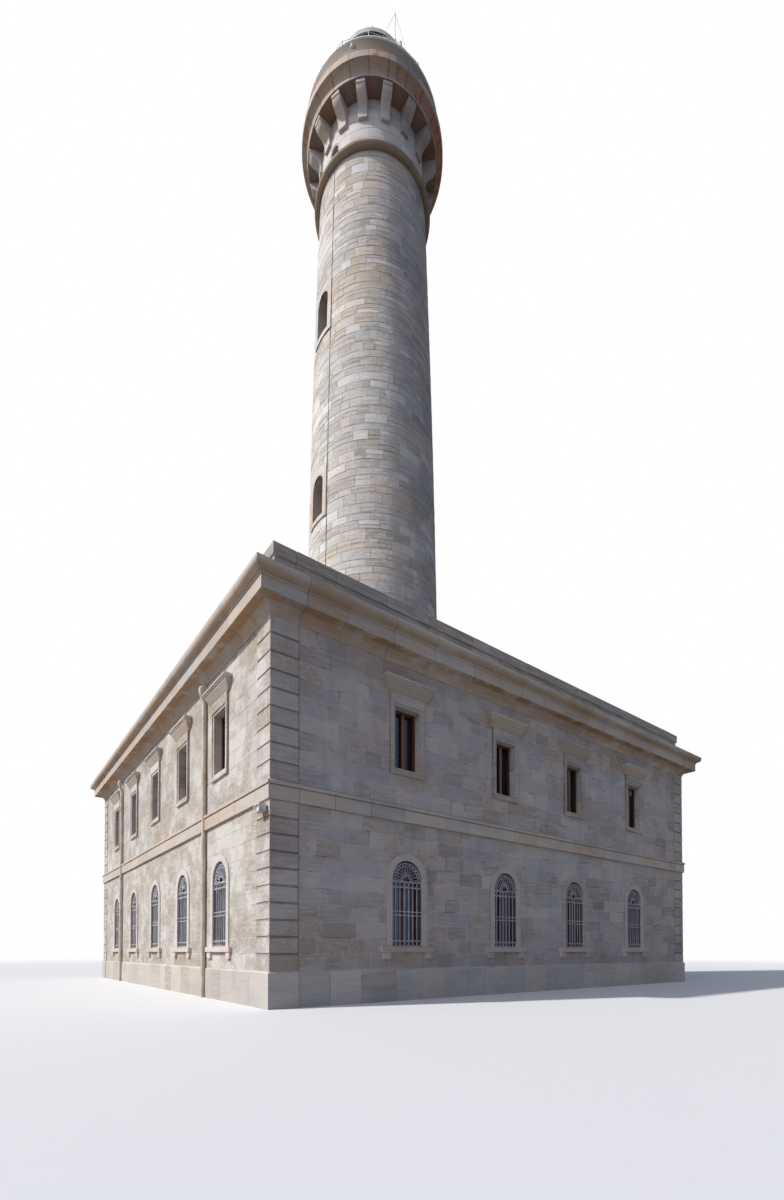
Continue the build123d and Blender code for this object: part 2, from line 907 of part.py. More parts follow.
side_half = math.radians(side_angle / 2)
pane_middle = (lantern_radius + bar_inner) / 2 * math.cos(side_half)
pane_back = pane_middle - glass_thickness / 2
pane_width = 2 * (pane_back * math.tan(side_half) - lantern_bar / 2 / math.cos(side_half) - seat_gap)
pane_height = lantern_glass_height - 2 * (lantern_rail + seat_gap)
pane = Pos(pane_middle, 0, (curb_top + lantern_top) / 2) * Box(glass_thickness, pane_width, pane_height)
parts["lantern_glass"] = [Rot(0, 0, (k + 0.5) * side_angle) * pane for k in range(lantern_sides)]

edge_section = outline(
    (roof_edge_radius - roof_edge_width, lantern_top),
    (roof_edge_radius, lantern_top),
    (roof_edge_radius, roof_edge_top),
    (roof_edge_radius - roof_edge_width, roof_edge_top),
)
parts["lantern_roof_edge"] = [turned(edge_section)]

cap_radius = (dome_radius**2 + dome_rise**2) / (2 * dome_rise)


def cap(radius, drop):
    """A point on the dome's round outline, or that far under it."""
    rise = math.sqrt((cap_radius - drop) ** 2 - radius**2) - (cap_radius - dome_rise)
    return (radius, roof_edge_top + rise)


dome_inner = math.sqrt((cap_radius - dome_shell) ** 2 - (cap_radius - dome_rise) ** 2)
dome_section = outline(
    (dome_inner, roof_edge_top),
    (dome_radius, roof_edge_top),
    (cap(dome_radius * dome_arc_share, 0), (0, dome_top)),
    (0, dome_top - dome_shell),
    (cap(dome_inner * dome_arc_share, dome_shell), (dome_inner, roof_edge_top)),
)
parts["lantern_dome"] = [turned(dome_section)]

neck_foot = dome_top + seat_gap
ball_seat_drop = dome_top - cap(ball_neck_radius, 0)[1]
ball = Pos(0, 0, ball_centre) * Sphere(ball_radius)
neck_top = ball_centre - ball_radius / 2
neck_low = neck_foot - ball_seat_drop
neck = Pos(0, 0, (neck_low + neck_top) / 2) * Cylinder(ball_neck_radius, neck_top - neck_low)
dome_body = Pos(0, 0, roof_edge_top + dome_rise - cap_radius) * Sphere(cap_radius + seat_gap)
rod_length = ball_radius + rod_height
rod = Pos(0, 0, ball_centre + rod_length / 2) * Cylinder(rod_radius, rod_length)
parts["dome_finial"] = [ball + (neck - dome_body) + rod]


# Lamps, swan-neck pipe and aerial


def corner_lamp(side):
    """A floodlight under the belt course, on a side wall's pier at the front corner."""
    face_x = half_x + pier_proud
    lamp_x = face_x + lamp_bracket + lamp_depth / 2
    lamp_y = -half_y - pier_proud + lamp_corner_gap + lamp_length / 2
    lamp_z = belt_bottom - lamp_drop - lamp_height / 2
    recess = Box(2 * lamp_recess, lamp_length - 2 * lamp_visor, lamp_height - 2 * lamp_visor)
    body = Box(lamp_depth, lamp_length, lamp_height) - Pos(side * lamp_depth / 2, 0, 0) * recess
    arm_length = lamp_bracket + lamp_visor
    arm = Pos(side * (face_x + arm_length / 2), lamp_y, lamp_z) * Box(arm_length, lamp_bracket, lamp_bracket)
    return Pos(side * lamp_x, lamp_y, lamp_z) * body + arm


def on_circle(radius, turn, level):
    """A place on a circle about the tower's axis, its local -Y facing outwards."""
    return Rot(0, 0, turn + 90) * Pos(0, -radius, level)


def swan_neck():
    """A pipe on the gallery floor whose head bends over, along the gallery."""
    top = gallery_floor + swan_rise
    reach = 2 * swan_bend + swan_crown
    route = [(0, gallery_floor), (0, top), (-reach, top), (-reach, top - swan_bend - swan_tail)]
    points = [(across, -swan_circle, level) for across, level in route]
    path = FilletPolyline(*points, radius=swan_bend)
    pipe = sweep(Plane(origin=path @ 0, z_dir=path % 0) * Circle(swan_radius), path=path)
    return Rot(0, 0, swan_turn + 90) * pipe


def aerial():
    """A rod on a foot, held by two stays to the top of the gallery wall."""
    top = gallery_wall_top + aerial_height
    rod = Pos(0, 0, aerial_height / 2) * Cylinder(aerial_radius, aerial_height)
    foot = Pos(0, 0, aerial_base / 2) * Cylinder(aerial_base, aerial_base)
    found = on_circle(fitting_circle, aerial_turn, gallery_wall_top) * (rod + foot)
    head = on_circle(fitting_circle, aerial_turn, top - 2 * aerial_radius).position
    under_wall_top = Pos(0, 0, -aerial_base) * Box(aerial_base, aerial_base, 2 * aerial_base)
    for turn in stay_turns:
        seat = on_circle(fitting_circle, turn, gallery_wall_top)
        run = Line(seat.position, head)
        stay = sweep(Plane(origin=seat.position, z_dir=run % 0) * Circle(stay_radius), path=run)
        found = found + (stay - seat * under_wall_top)
    return found


def wall_lamp():
    """A round lamp on the outer face of the gallery wall."""
    place = on_circle(gallery_wall_radius, wall_lamp_turn, gallery_wall_top - wall_lamp_drop)
    wall = Pos(0, 0, gallery_floor) * Cylinder(gallery_wall_radius + seat_gap, 2 * gallery_wall_height)
    return place * Sphere(wall_lamp_radius) - wall


def rail_lamp():
    """A small beacon on the top of the gallery wall."""
    place = on_circle(fitting_circle, rail_lamp_turn, gallery_wall_top + rail_lamp_height / 2)
    return place * Cylinder(rail_lamp_radius, rail_lamp_height)


fitting_circle = gallery_wall_radius - fitting_set_back
parts["corner_lamps"] = [corner_lamp(-1), corner_lamp(1)]
parts["gallery_fittings"] = [swan_neck(), aerial(), wall_lamp(), rail_lamp()]


os.makedirs("parts", exist_ok=True)
for name, pieces in parts.items():
    export_step(Compound(children=list(pieces)), os.path.join("parts", name + ".step"))
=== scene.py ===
import math
import random

import bpy
import numpy as np
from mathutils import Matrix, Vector, noise


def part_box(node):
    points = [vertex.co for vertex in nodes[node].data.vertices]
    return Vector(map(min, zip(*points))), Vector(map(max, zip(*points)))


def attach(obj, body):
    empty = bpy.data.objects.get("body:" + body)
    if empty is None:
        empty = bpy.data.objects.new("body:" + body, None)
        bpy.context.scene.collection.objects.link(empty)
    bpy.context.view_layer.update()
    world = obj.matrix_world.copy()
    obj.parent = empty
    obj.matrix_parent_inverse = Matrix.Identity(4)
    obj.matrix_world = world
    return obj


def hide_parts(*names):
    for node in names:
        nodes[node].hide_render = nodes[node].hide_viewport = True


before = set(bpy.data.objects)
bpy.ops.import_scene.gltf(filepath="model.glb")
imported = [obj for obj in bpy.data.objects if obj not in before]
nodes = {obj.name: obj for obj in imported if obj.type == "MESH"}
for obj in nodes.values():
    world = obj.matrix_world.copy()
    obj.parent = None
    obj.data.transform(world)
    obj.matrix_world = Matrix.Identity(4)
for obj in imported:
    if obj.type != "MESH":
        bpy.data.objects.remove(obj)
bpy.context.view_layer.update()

# A stone lighthouse at half its real size, in metres, dressed over its solids. The tower
# stands on the Z axis, the front of the building faces -Y and its left side faces -X.

# Levels and faces, from the solids
wall_x = -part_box("left_wall")[0].x
wall_y = -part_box("front_wall")[0].y
plinth_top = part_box("plinth")[1].z
belt_foot, belt_top = (corner.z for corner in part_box("belt_course"))
cornice_foot, cornice_top = (corner.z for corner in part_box("cornice"))
hood_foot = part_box("upper_hoods")[0].z
shaft_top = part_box("tower_front_wall")[1].z
collar_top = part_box("collar_ring")[1].z
drum_foot, drum_top = (corner.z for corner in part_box("frieze_drum"))
drum_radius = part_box("frieze_drum")[1].x
slab_foot, slab_top = (corner.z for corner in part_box("gallery_slab"))
wall_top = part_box("gallery_parapet")[1].z
deck_x, deck_y, deck_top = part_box("roof_deck")[1]

# Sizes that the boxes don't give by themselves
pier_width = 0.41
lower_rows, upper_rows = 10, 9
lower_course = (belt_foot - plinth_top) / lower_rows
upper_course = (cornice_foot - belt_top) / upper_rows
bed_top = cornice_foot + 0.135
crown_foot = cornice_top - 0.13
crown_lip = 0.035
hood_slope = 0.135
collar_lip = 0.035
fascia_foot = slab_top - 0.15
rim_foot = wall_top - 0.05

# How far out the gallery's flat underside reaches, and the shaft's radius at three levels
ceiling_reach = 1.825
shaft_radii = ((0.0, 1.875), (12.0, 1.757), (21.4, 1.475))

# Windows: width, foot and head or springing, and where they stand along a side
upper_window = (0.50, 3.635, 4.605)
lower_window = (0.60, 0.84, 1.90)
front_bays = (-3.375, -1.06, 1.06, 3.375)
side_bays = (-3.9, -1.95, 0.0, 1.95, 3.9)

# Tower windows: width and height to the springing, and the levels of their feet
tower_window = (0.50, 0.85)
tower_levels = (7.1, 12.1, 17.1)

# Each side: its turn about the tower, how far out its wall is, half its length, its bays
sides = {
    "front": (0, wall_y, wall_x, front_bays),
    "left": (-90, wall_x, wall_y, side_bays),
    "back": (180, wall_y, wall_x, front_bays),
    "right": (90, wall_x, wall_y, side_bays),
}


# Camera, at the photograph's viewing angle

photo_width, photo_height = 784, 1200
photo_focal = 628.25
photo_zoom = 0.88
top_margin = 15
tower_tip_row = 27
horizon_row = 1080.84
sensor_long = 36.0

camera_data = bpy.data.cameras.new("camera")
camera = bpy.data.objects.new("camera", camera_data)
bpy.context.scene.collection.objects.link(camera)
camera.location = (-8.85, -12.5625, 0.763)
camera.rotation_euler = (math.radians(90.963), 0, math.radians(-37.224))
camera_data.sensor_fit = "VERTICAL"
camera_data.sensor_height = sensor_long
camera_data.sensor_width = sensor_long * photo_width / photo_height
camera_data.lens = photo_focal * photo_zoom * sensor_long / photo_height
framed_horizon = top_margin + (horizon_row - tower_tip_row) * photo_zoom
camera_data.shift_y = framed_horizon / photo_height - 0.5
bpy.context.scene.camera = camera
bpy.context.scene.view_settings.view_transform = "Standard"


# Shader maths

class Wire:
    """A shader value that takes part in plain arithmetic."""

    def __init__(self, paint, socket):
        self.paint = paint
        self.socket = socket

    def maths(self, operation, *values):
        return self.paint.add("ShaderNodeMath", {"operation": operation}, dict(enumerate(values)))

    def __add__(self, other):
        return self.maths("ADD", self, other)

    def __sub__(self, other):
        return self.maths("SUBTRACT", self, other)

    def __rsub__(self, other):
        return self.maths("SUBTRACT", other, self)

    def __mul__(self, other):
        return self.maths("MULTIPLY", self, other)

    def __pow__(self, other):
        return self.maths("POWER", self, other)

    def __abs__(self):
        return self.maths("ABSOLUTE", self)

    __radd__ = __add__
    __rmul__ = __mul__

    def over(self, low, high):
        """0 below low, 1 above high and smooth between."""
        settings = {"interpolation_type": "SMOOTHSTEP", "clamp": True}
        return self.paint.add("ShaderNodeMapRange", settings, {0: self, 1: low, 2: high})

    def between(self, low, high, soft):
        """1 between two levels, with soft edges."""
        return self.over(low - soft, low + soft) * (1 - self.over(high - soft, high + soft))

    def fraction(self):
        return self.maths("FRACT", self)

    def wave(self):
        return self.maths("SINE", self)

    def most(self, other):
        return self.maths("MAXIMUM", self, other)


def tint(shade):
    """A colour from its values on a screen, 0 to 255. One with four values is light already."""
    if isinstance(shade, Wire) or len(shade) == 4:
        return shade
    values = [value / 255 for value in shade]
    return tuple(v / 12.92 if v < 0.04045 else ((v + 0.055) / 1.055) ** 2.4 for v in values) + (1.0,)


class Paint:
    """One finish: a Principled shader and the nodes that vary it."""

    def __init__(self, name, **constants):
        self.material = bpy.data.materials.new(name)
        self.material.use_nodes = True
        self.tree = self.material.node_tree
        self.shader = self.tree.nodes["Principled BSDF"]
        for key, value in constants.items():
            self.shader.inputs[key.replace("_", " ")].default_value = value
        self.spot = self.add("ShaderNodeTexCoord", out="Object")

    def add(self, kind, settings=None, sockets=None, out=0):
        node = self.tree.nodes.new(kind)
        for key, value in (settings or {}).items():
            if key == "stops":
                stops = node.color_ramp.elements
                while len(stops) < len(value):
                    stops.new(1.0)
                for stop, (place, shade) in zip(stops, value):
                    stop.position = place
                    stop.color = tint(shade)
            else:
                setattr(node, key, value)
        for key, value in (sockets or {}).items():
            if isinstance(value, Wire):
                self.tree.links.new(value.socket, node.inputs[key])
            else:
                node.inputs[key].default_value = value
        return Wire(self, node.outputs[out])

    def squeezed(self, rise, across=1, spot=None):
        """The place on the object, scaled by rise upwards and by across sideways."""
        if rise == across == 1:
            return spot or self.spot
        sockets = {"Vector": spot or self.spot, "Scale": (across, across, rise)}
        return self.add("ShaderNodeMapping", None, sockets)

    def cloud(self, scale, detail=4, roughness=0.55, rise=1, distortion=0.0, across=1, spot=None):
        sockets = {
            "Vector": self.squeezed(rise, across, spot),
            "Scale": scale,
            "Detail": detail,
            "Roughness": roughness,
            "Distortion": distortion,
        }
        return self.add("ShaderNodeTexNoise", None, sockets)

    def split(self, vector):
        """The three numbers of a vector."""
        separate = self.add("ShaderNodeSeparateXYZ", None, {0: vector}).socket.node
        return [Wire(self, separate.outputs[axis]) for axis in range(3)]

    def axes(self):
        return self.split(self.spot)

    def facing(self):
        return self.split(self.add("ShaderNodeNewGeometry", out="Normal"))

    def own(self, name):
        """A number kept on each face or corner of the piece."""
        return self.add("ShaderNodeAttribute", {"attribute_name": name}, None, "Fac")

    def ramp(self, value, *stops):
        return self.add("ShaderNodeValToRGB", {"stops": stops}, {0: value})

    def mix(self, share, first, second):
        sockets = {0: share, 6: tint(first), 7: tint(second)}
        return self.add("ShaderNodeMix", {"data_type": "RGBA"}, sockets, 2)

    def lay(self, colour, *coats):
        """Lays coats over a colour, one after the other, each given as its share and colour."""
        for share, shade in coats:
            colour = self.mix(share, colour, shade)
        return colour

    def bump(self, height, distance):
        return self.add("ShaderNodeBump", None, {"Height": height, "Distance": distance, "Strength": 1.0})

    def feed(self, **sockets):
        for key, value in sockets.items():
            self.tree.links.new(value.socket, self.shader.inputs[key.replace("_", " ")])
        return self.material


class Sky(Paint):
    """The studio's surround, drawn with the same tools as a finish."""

    def __init__(self, tree):
        self.tree = tree


# Studio: a plain pale floor and soft light

WHITE = (1, 1, 1, 1)
WHITE_RAYS = ("Is Camera Ray", "Is Glossy Ray", "Is Transmission Ray")


def add_light(name, energy, turn, colour, width):
    data = bpy.data.lights.new(name, "SUN")
    data.energy = energy
    data.color = colour
    data.angle = math.radians(width)
    lamp = bpy.data.objects.new(name, data)
    bpy.context.scene.collection.objects.link(lamp)
    lamp.rotation_euler = [math.radians(angle) for angle in turn]


add_light("key", 3.1, (50, 0, -108), (1.0, 0.975, 0.94), 2)
add_light("fill", 0.5, (65, 0, -86), (1.0, 0.98, 0.95), 50)

world = bpy.data.worlds.new("studio")
bpy.context.scene.world = world
world.use_nodes = True
world.node_tree.nodes.clear()
sky = Sky(world.node_tree)
away_from_key = sky.split(sky.add("ShaderNodeTexCoord", out="Generated"))[0].over(-0.9, 0.9)
sky_colour = sky.mix(away_from_key, (0.67, 0.74, 1.03, 1), (0.47, 0.64, 1.03, 1))
dome = sky.add("ShaderNodeBackground", None, {"Color": sky_colour, "Strength": 0.38 - away_from_key * 0.20})
rays = [sky.add("ShaderNodeLightPath", out=name) for name in WHITE_RAYS]
seen = rays[0].most(rays[1]).most(rays[2])
glow = sky.add("ShaderNodeBackground", None, {"Color": WHITE, "Strength": 1.0})
surround = sky.add("ShaderNodeMixShader", None, {0: seen, 1: dome, 2: glow})
sky_out = sky.tree.nodes.new("ShaderNodeOutputWorld")
sky.tree.links.new(surround.socket, sky_out.inputs["Surface"])

floor_paint = Paint("studio_floor", Roughness=0.9)
floor_x, floor_y, _ = floor_paint.axes()
from_tower = (floor_x * floor_x + floor_y * floor_y) ** 0.5
bounce = floor_paint.mix(from_tower.over(14, 40), (0.26, 0.25, 0.24, 1), (0.05, 0.05, 0.06, 1))
camera_ray = floor_paint.add("ShaderNodeLightPath", out="Is Camera Ray")
floor_paint.feed(Base_Color=floor_paint.mix(camera_ray, bounce, (0.86, 0.86, 0.86, 1)))
near = Wire(floor_paint, floor_paint.shader.outputs[0])
far = floor_paint.add("ShaderNodeEmission", None, {"Color": WHITE, "Strength": 1.0})
far_share = camera_ray * from_tower.over(16, 60)
floor_mix = floor_paint.add("ShaderNodeMixShader", None, {0: far_share, 1: near, 2: far})
floor_out = floor_paint.tree.nodes["Material Output"]
floor_paint.tree.links.new(floor_mix.socket, floor_out.inputs["Surface"])

bpy.ops.object.select_all(action="DESELECT")
bpy.ops.mesh.primitive_circle_add(vertices=96, radius=170, fill_type="NGON", location=(0, 0, -0.002))
studio_floor = bpy.context.object
studio_floor.name = "studio_floor"
studio_floor.data.materials.append(floor_paint.material)


# Finishes of the stone

# Each stone's pale, middle, deep, warm and cool colour, as on a screen
WALL = ((232, 226, 217), (212, 204, 195), (160, 151, 146), (214, 197, 181), (198, 199, 202))
TRIM = ((240, 233, 222), (224, 215, 203), (180, 170, 160), (218, 196, 170), (206, 205, 203))
TOWER = ((242, 238, 232), (226, 220, 210), (166, 158, 151), (229, 210, 190), (220, 221, 218))
HEAD = ((236, 229, 220), (218, 209, 198), (172, 160, 150), (214, 190, 166), (202, 200, 198))
DRUM = ((246, 242, 236), (234, 228, 220), (196, 188, 180), (232, 214, 196), (220, 220, 220))
SILL = ((240, 226, 213), (222, 206, 193), (178, 160, 150), (222, 190, 170), (210, 206, 204))
SURROUND = ((236, 228, 218), (220, 210, 198), (178, 168, 158), (216, 198, 176), (206, 205, 204))
FLOOR = ((176, 166, 152), (148, 138, 126), (112, 106, 100), (150, 124, 100), (140, 140, 140))
TILE = ((190, 180, 168), (172, 158, 144), (142, 131, 122), (178, 152, 130), (160, 156, 150))
# Dark of the ring stones' joints, and painted shade in grooves and along frame edges
SOOT_AND_SHADE = (70, 56, 48)

# The joints of the gallery slab, the way to the cement patch on the gallery's face, and the way to the
# tower's shaded side, on which shade is painted
SLAB_STONES = 24
SLAB_START = 7
PATCH_WAY = (-0.12, -0.99)
SHADED_SIDE_WAY = (0.82, -0.57)


def stone_finish(name, palette, stain=None, block=None, relief=0.006, veining=1.0):
    """Weathered stone: a tone for each block, bedding streaks, blotches, pits and stains.

    A piece keeps the tones of its stones, unless the size of a block is given here.
    """
    pale, mid, deep, warm, cool = palette
    paint = Paint(name, Specular_IOR_Level=0.2)
    if block:
        scaled = paint.add("ShaderNodeVectorMath", {"operation": "DIVIDE"}, {0: paint.spot, 1: block})
        cell = paint.add("ShaderNodeVectorMath", {"operation": "FLOOR"}, {0: scaled})
        tone = paint.add("ShaderNodeTexWhiteNoise", None, {"Vector": cell})
        blush = (tone * 7.31).fraction()
    else:
        tone = paint.own("tone")
        blush = paint.own("blush")
    apart = paint.add("ShaderNodeCombineXYZ", None, {0: tone * 9, 1: blush * 7, 2: tone * 5})
    spot = paint.add("ShaderNodeVectorMath", {"operation": "ADD"}, {0: paint.spot, 1: apart})
    beds = paint.cloud(2.0, 5, 0.62, 11, 0.4, spot=spot)
    veins = paint.cloud(4.5, 5, 0.7, 14, 0.3, 0.6, spot)
    fine = paint.cloud(14, 5, 0.65, 2.2)
    pits = paint.add("ShaderNodeTexVoronoi", None, {"Vector": paint.squeezed(1.6), "Scale": 42})
    hole = (1 - pits.over(0.10, 0.26)) * fine.over(0.50, 0.62)
    shade = tone * 0.26 + beds * 0.6 + paint.cloud(1.1, 3, 0.5) * 0.25 - 0.06
    colour = paint.lay(
        paint.ramp(shade, (0.26, deep), (0.48, mid), (0.72, pale)),
        ((1 - blush).over(0.50, 1.0) * 0.65, cool),
        (blush.over(0.55, 1.0) * fine.over(0.30, 0.70) * 0.8, warm),
        (veins.over(0.56, 0.66) * beds.over(0.42, 0.58) * (0.6 * veining), deep),
        ((1 - veins).over(0.56, 0.66) * fine.over(0.40, 0.60) * (0.6 * veining), pale),
        (hole * 0.5, (84, 76, 72)),
    )
    if stain:
        colour = stain(paint, colour, beds, fine)
    # Each face's kept number lays dark joints, and painted shade in grooves and beside frames
    colour = paint.mix(paint.own("soot"), colour, SOOT_AND_SHADE)
    height = fine * 0.5 + beds * 0.5 + veins * 0.3 - hole * 0.8
    return paint.feed(Base_Color=colour, Normal=paint.bump(height, relief), Roughness=fine * 0.2 + 0.8)


def on_side(paint):
    """1 on what faces left or right. Wall and trim stains paint these faces darker as painted shade; on the
    walls they are also mottled with weathering.
    """
    return abs(paint.facing()[0]).over(0.70, 0.95)


def shaded_side_reach(paint):
    """How far a place lies towards the tower's shaded side, away from the key light."""
    x, y, _ = paint.axes()
    return x * SHADED_SIDE_WAY[0] + y * SHADED_SIDE_WAY[1]


def wall_stains(paint, colour, beds, fine):
    """Ochre under the cornice and sills, damp at the foot, rain streaks, and on the left and right faces
    painted shade with eroded mottling.
    """
    up = paint.axes()[2]
    side = on_side(paint)
    streak = paint.cloud(5, 4, 0.6, 0.12).over(0.50, 0.72)
    patch = paint.cloud(0.9, 3, 0.55, 1.6)
    rough = paint.cloud(0.75, 5, 0.6, 1.5)
    mottle = paint.cloud(1.5, 6, 0.66, 1.3)
    under_cornice = up.between(cornice_foot - 0.45, cornice_foot, 0.25)
    under_sill = up.between(lower_window[1] - 0.34, lower_window[1] - 0.12, 0.12)
    damp = 1 - up.over(plinth_top - 0.1, plinth_top + 0.9)
    return paint.lay(
        colour,
        (rough.over(0.53, 0.60) * fine.over(0.36, 0.56) * 0.45, (186, 164, 146)),
        ((1 - rough).over(0.54, 0.64) * 0.30, (230, 228, 225)),
        (under_cornice * patch.over(0.46, 0.62) * 0.45, (170, 146, 122)),
        (under_sill * patch.over(0.42, 0.60) * 0.35, (190, 160, 140)),
        (damp * beds.over(0.4, 0.6) * 0.30, (156, 140, 130)),
        (streak * 0.14, (112, 108, 108)),
        # Painted shade: the left and right faces made darker all over
        (side * 0.28, (166, 160, 150)),
        (side * mottle.over(0.52, 0.58) * 0.50, (232, 229, 220)),
        (side * (1 - mottle).over(0.52, 0.58) * fine.over(0.40, 0.54) * 0.55, (160, 142, 122)),
    )


def tower_stains(paint, colour, beds, fine):
    """Soft peach and grey patches, limewashed spots and stones, and painted shade in soil-like patches on
    the shaded side.
    """
    patch = paint.cloud(0.55, 3, 0.55, 1.6)
    lime = paint.cloud(2.2, 4, 0.6, 2.5).over(0.58, 0.68)
    soil_like_shade = paint.cloud(1.1, 5, 0.65, 0.7).over(0.44, 0.58) * 0.34 + 0.08
    return paint.lay(
        colour,
        (patch.over(0.49, 0.62) * 0.40, (230, 204, 176)),
        ((1 - patch).over(0.52, 0.66) * 0.25, (196, 194, 192)),
        (lime * 0.5, (250, 247, 240)),
        (paint.own("tone").over(0.85, 0.89) * 0.55, (252, 250, 246)),
        # Painted shade, in patches like soil, on the tower's shaded side
        (shaded_side_reach(paint).over(0.3, 0.9) * soil_like_shade, (146, 144, 148)),
    )


def trim_stains(paint, colour, beds, fine):
    """Brown weathering on the mouldings, rust along the corona, lichen on the tops, and painted shade on the
    left and right faces.
    """
    up = paint.axes()[2]
    slope = paint.facing()[2]
    patch = paint.cloud(0.8, 4, 0.6, 2)
    small = paint.cloud(2.6, 4, 0.6, 3)
    bed = up.between(cornice_foot - 0.01, bed_top, 0.015)
    corona = up.between(bed_top, crown_foot, 0.02)
    crown = up.between(crown_foot, cornice_top - crown_lip, 0.01)
    belt = up.between(belt_foot - 0.01, belt_top + 0.02, 0.01)
    hood = up.between(hood_foot - 0.1, hood_foot + hood_slope, 0.01)
    rust = up.between(bed_top - 0.004, bed_top + 0.016, 0.006) * small.over(0.36, 0.54)
    slate = (1 - patch).over(0.50, 0.64) * (1 - bed) * (1 - crown)
    parapet = up.over(cornice_top + 0.01, cornice_top + 0.05)
    return paint.lay(
        colour,
        (bed * (small.over(0.30, 0.66) * 0.34 + 0.12), (212, 180, 146)),
        (corona * (patch.over(0.40, 0.62) * 0.30 + 0.12), (204, 172, 140)),
        (crown * (patch.over(0.36, 0.60) * 0.34 + 0.24), (204, 174, 142)),
        (belt * (patch.over(0.30, 0.60) * 0.24 + 0.06), (222, 196, 166)),
        (hood * 0.38, (202, 168, 132)),
        ((0 - slope).over(0.10, 0.80) * (small.over(0.30, 0.60) * 0.30 + 0.15), (176, 140, 104)),
        (rust * 0.6, (176, 130, 78)),
        (slate * 0.35, (180, 182, 184)),
        (parapet * (beds.over(0.40, 0.62) * 0.45 + 0.2), (136, 132, 132)),
        # Painted shade: the left and right faces made darker all over
        (on_side(paint) * 0.30, (168, 160, 153)),
        (slope.over(0.6, 0.9) * 0.5, (128, 124, 120)),
    )


def head_stains(paint, colour, beds, fine):
    """The tower head: brown undersides, rust on its shaded side, painted shade below the slab on that side,
    plaster and a painted rim.
    """
    x, y, up = paint.axes()
    slope = paint.facing()[2]
    shaded_side = shaded_side_reach(paint)
    patch = paint.cloud(1.6, 4, 0.6)
    inside = 1 - ((x * x + y * y) ** 0.5).over(ceiling_reach - 0.02, ceiling_reach - 0.01)
    ceiling = up.between(slab_foot - 0.012, slab_foot + 0.012, 0.002) * inside
    feet = (0 - slope).over(0.94, 0.98) * (1 - ceiling)
    hollow = up.between(slab_foot + 0.04, fascia_foot, 0.01)
    rusty = shaded_side.over(-0.2, 1.9)
    turn = y.maths("ARCTAN2", y, x) * (SLAB_STONES / math.tau) - SLAB_START / 360 * SLAB_STONES
    beside_joint = abs(turn.fraction() - 0.5).over(0.36, 0.5) * fine.over(0.35, 0.60)
    runs = paint.cloud(2.7, 3, 0.6, 0.5).over(0.55, 0.66).most(beside_joint * 0.8)
    fascia = up.between(fascia_foot, slab_top, 0.004)
    red = paint.cloud(2.1, 3, 0.6).over(0.56, 0.62)
    bare = paint.cloud(0.9, 4, 0.6).over(0.50, 0.53) * (1 - up.over(slab_top + 0.20, slab_top + 0.36))
    plaster = up.over(slab_top + 0.002, slab_top + 0.008) * (1 - bare)
    mended = paint.cloud(1.7, 3, 0.5) * 0.5 + abs(x * PATCH_WAY[1] - y * PATCH_WAY[0])
    mended = (1 - mended.over(0.60, 0.62)) * (x * PATCH_WAY[0] + y * PATCH_WAY[1]).over(0, 0.1)
    mended = mended * up.over(fascia_foot, fascia_foot + 0.004)
    mended = mended * (1 - up.over(slab_top + 0.30, slab_top + 0.34))
    rim = up.over(rim_foot - 0.002, rim_foot + 0.002)
    below_slab = 1 - up.over(slab_foot - 0.012, slab_foot - 0.004)
    collar = 1 - up.over(collar_top - collar_lip, collar_top - collar_lip + 0.008)
    return paint.lay(
        colour,
        ((0 - slope).over(0.15, 0.85) * (patch.over(0.35, 0.65) * 0.15 + 0.15), (176, 150, 124)),
        (ceiling * 0.75, paint.mix(patch.over(0.4, 0.6), (84, 66, 52), (128, 84, 54))),
        (feet * 0.35, (140, 110, 84)),
        (hollow * 0.55, (196, 168, 134)),
        (hollow * rusty * (patch * 0.7 + 0.2), (186, 112, 66)),
        (runs * hollow * (rusty * 0.3 + 0.4), (156, 96, 58)),
        (fascia * 0.5, (228, 200, 180)),
        (fascia * red * 0.7, (190, 112, 88)),
        (plaster * 0.85, paint.mix(fine, (190, 175, 157), (170, 156, 140))),
        (mended * 0.8, (166, 163, 160)),
        (rim * (1 - fine.over(0.62, 0.70)), (246, 245, 242)),
        # Painted shade on the corbels and collar below the slab, on the shaded side
        (below_slab * shaded_side.over(0.0, 0.8) * (patch.over(0.40, 0.60) * 0.2 + 0.25), (146, 143, 146)),
        (collar * 0.65, (158, 136, 108)),
    )


def core_stains(paint, colour, beds, fine):
    """Mortar on the outer face, which shows only between the stones, and painted shade in the reveals
    downstairs.
    """
    x, y, up = paint.axes()
    side = on_side(paint)
    depth = (abs(x) - wall_x).most(abs(y) - wall_y)
    pale_joint = paint.mix(side, (226, 218, 207), (212, 204, 194))
    dark_joint = paint.mix(side, (136, 127, 120), (166, 156, 146))
    lost = paint.cloud(2.6, 4, 0.6).over(0.50, 0.62)
    # Painted shade: the lower windows' reveals made dark
    reveal_shade = up.between(lower_window[1], lower_window[2] + 0.30, 0.01) * (1 - depth.over(-0.016, -0.006))
    colour = paint.mix(reveal_shade * 0.75, colour, (70, 66, 70))
    return paint.mix(depth.over(-0.004, -0.002), colour, paint.mix(lost, pale_joint, dark_joint))


wall_stone = stone_finish("wall_stone", WALL, wall_stains, relief=0.010, veining=1.2)
wall_core = stone_finish("wall_core", WALL, core_stains, (3, 3, lower_course))
trim_stone = stone_finish("trim_stone", TRIM, trim_stains)
tower_stone = stone_finish("tower_stone", TOWER, tower_stains, relief=0.030, veining=0.8)
head_stone = stone_finish("head_stone", HEAD, head_stains)
drum_finish = stone_finish("drum_finish", DRUM, veining=0.5)
sill_stone = stone_finish("sill_stone", SILL)
surround_stone = stone_finish("surround_stone", SURROUND, veining=0.6)
floor_stone = stone_finish("floor_stone", FLOOR, block=(0.5, 0.5, 4))
roof_tile = stone_finish("roof_tile", TILE, veining=0.3)


# Other finishes

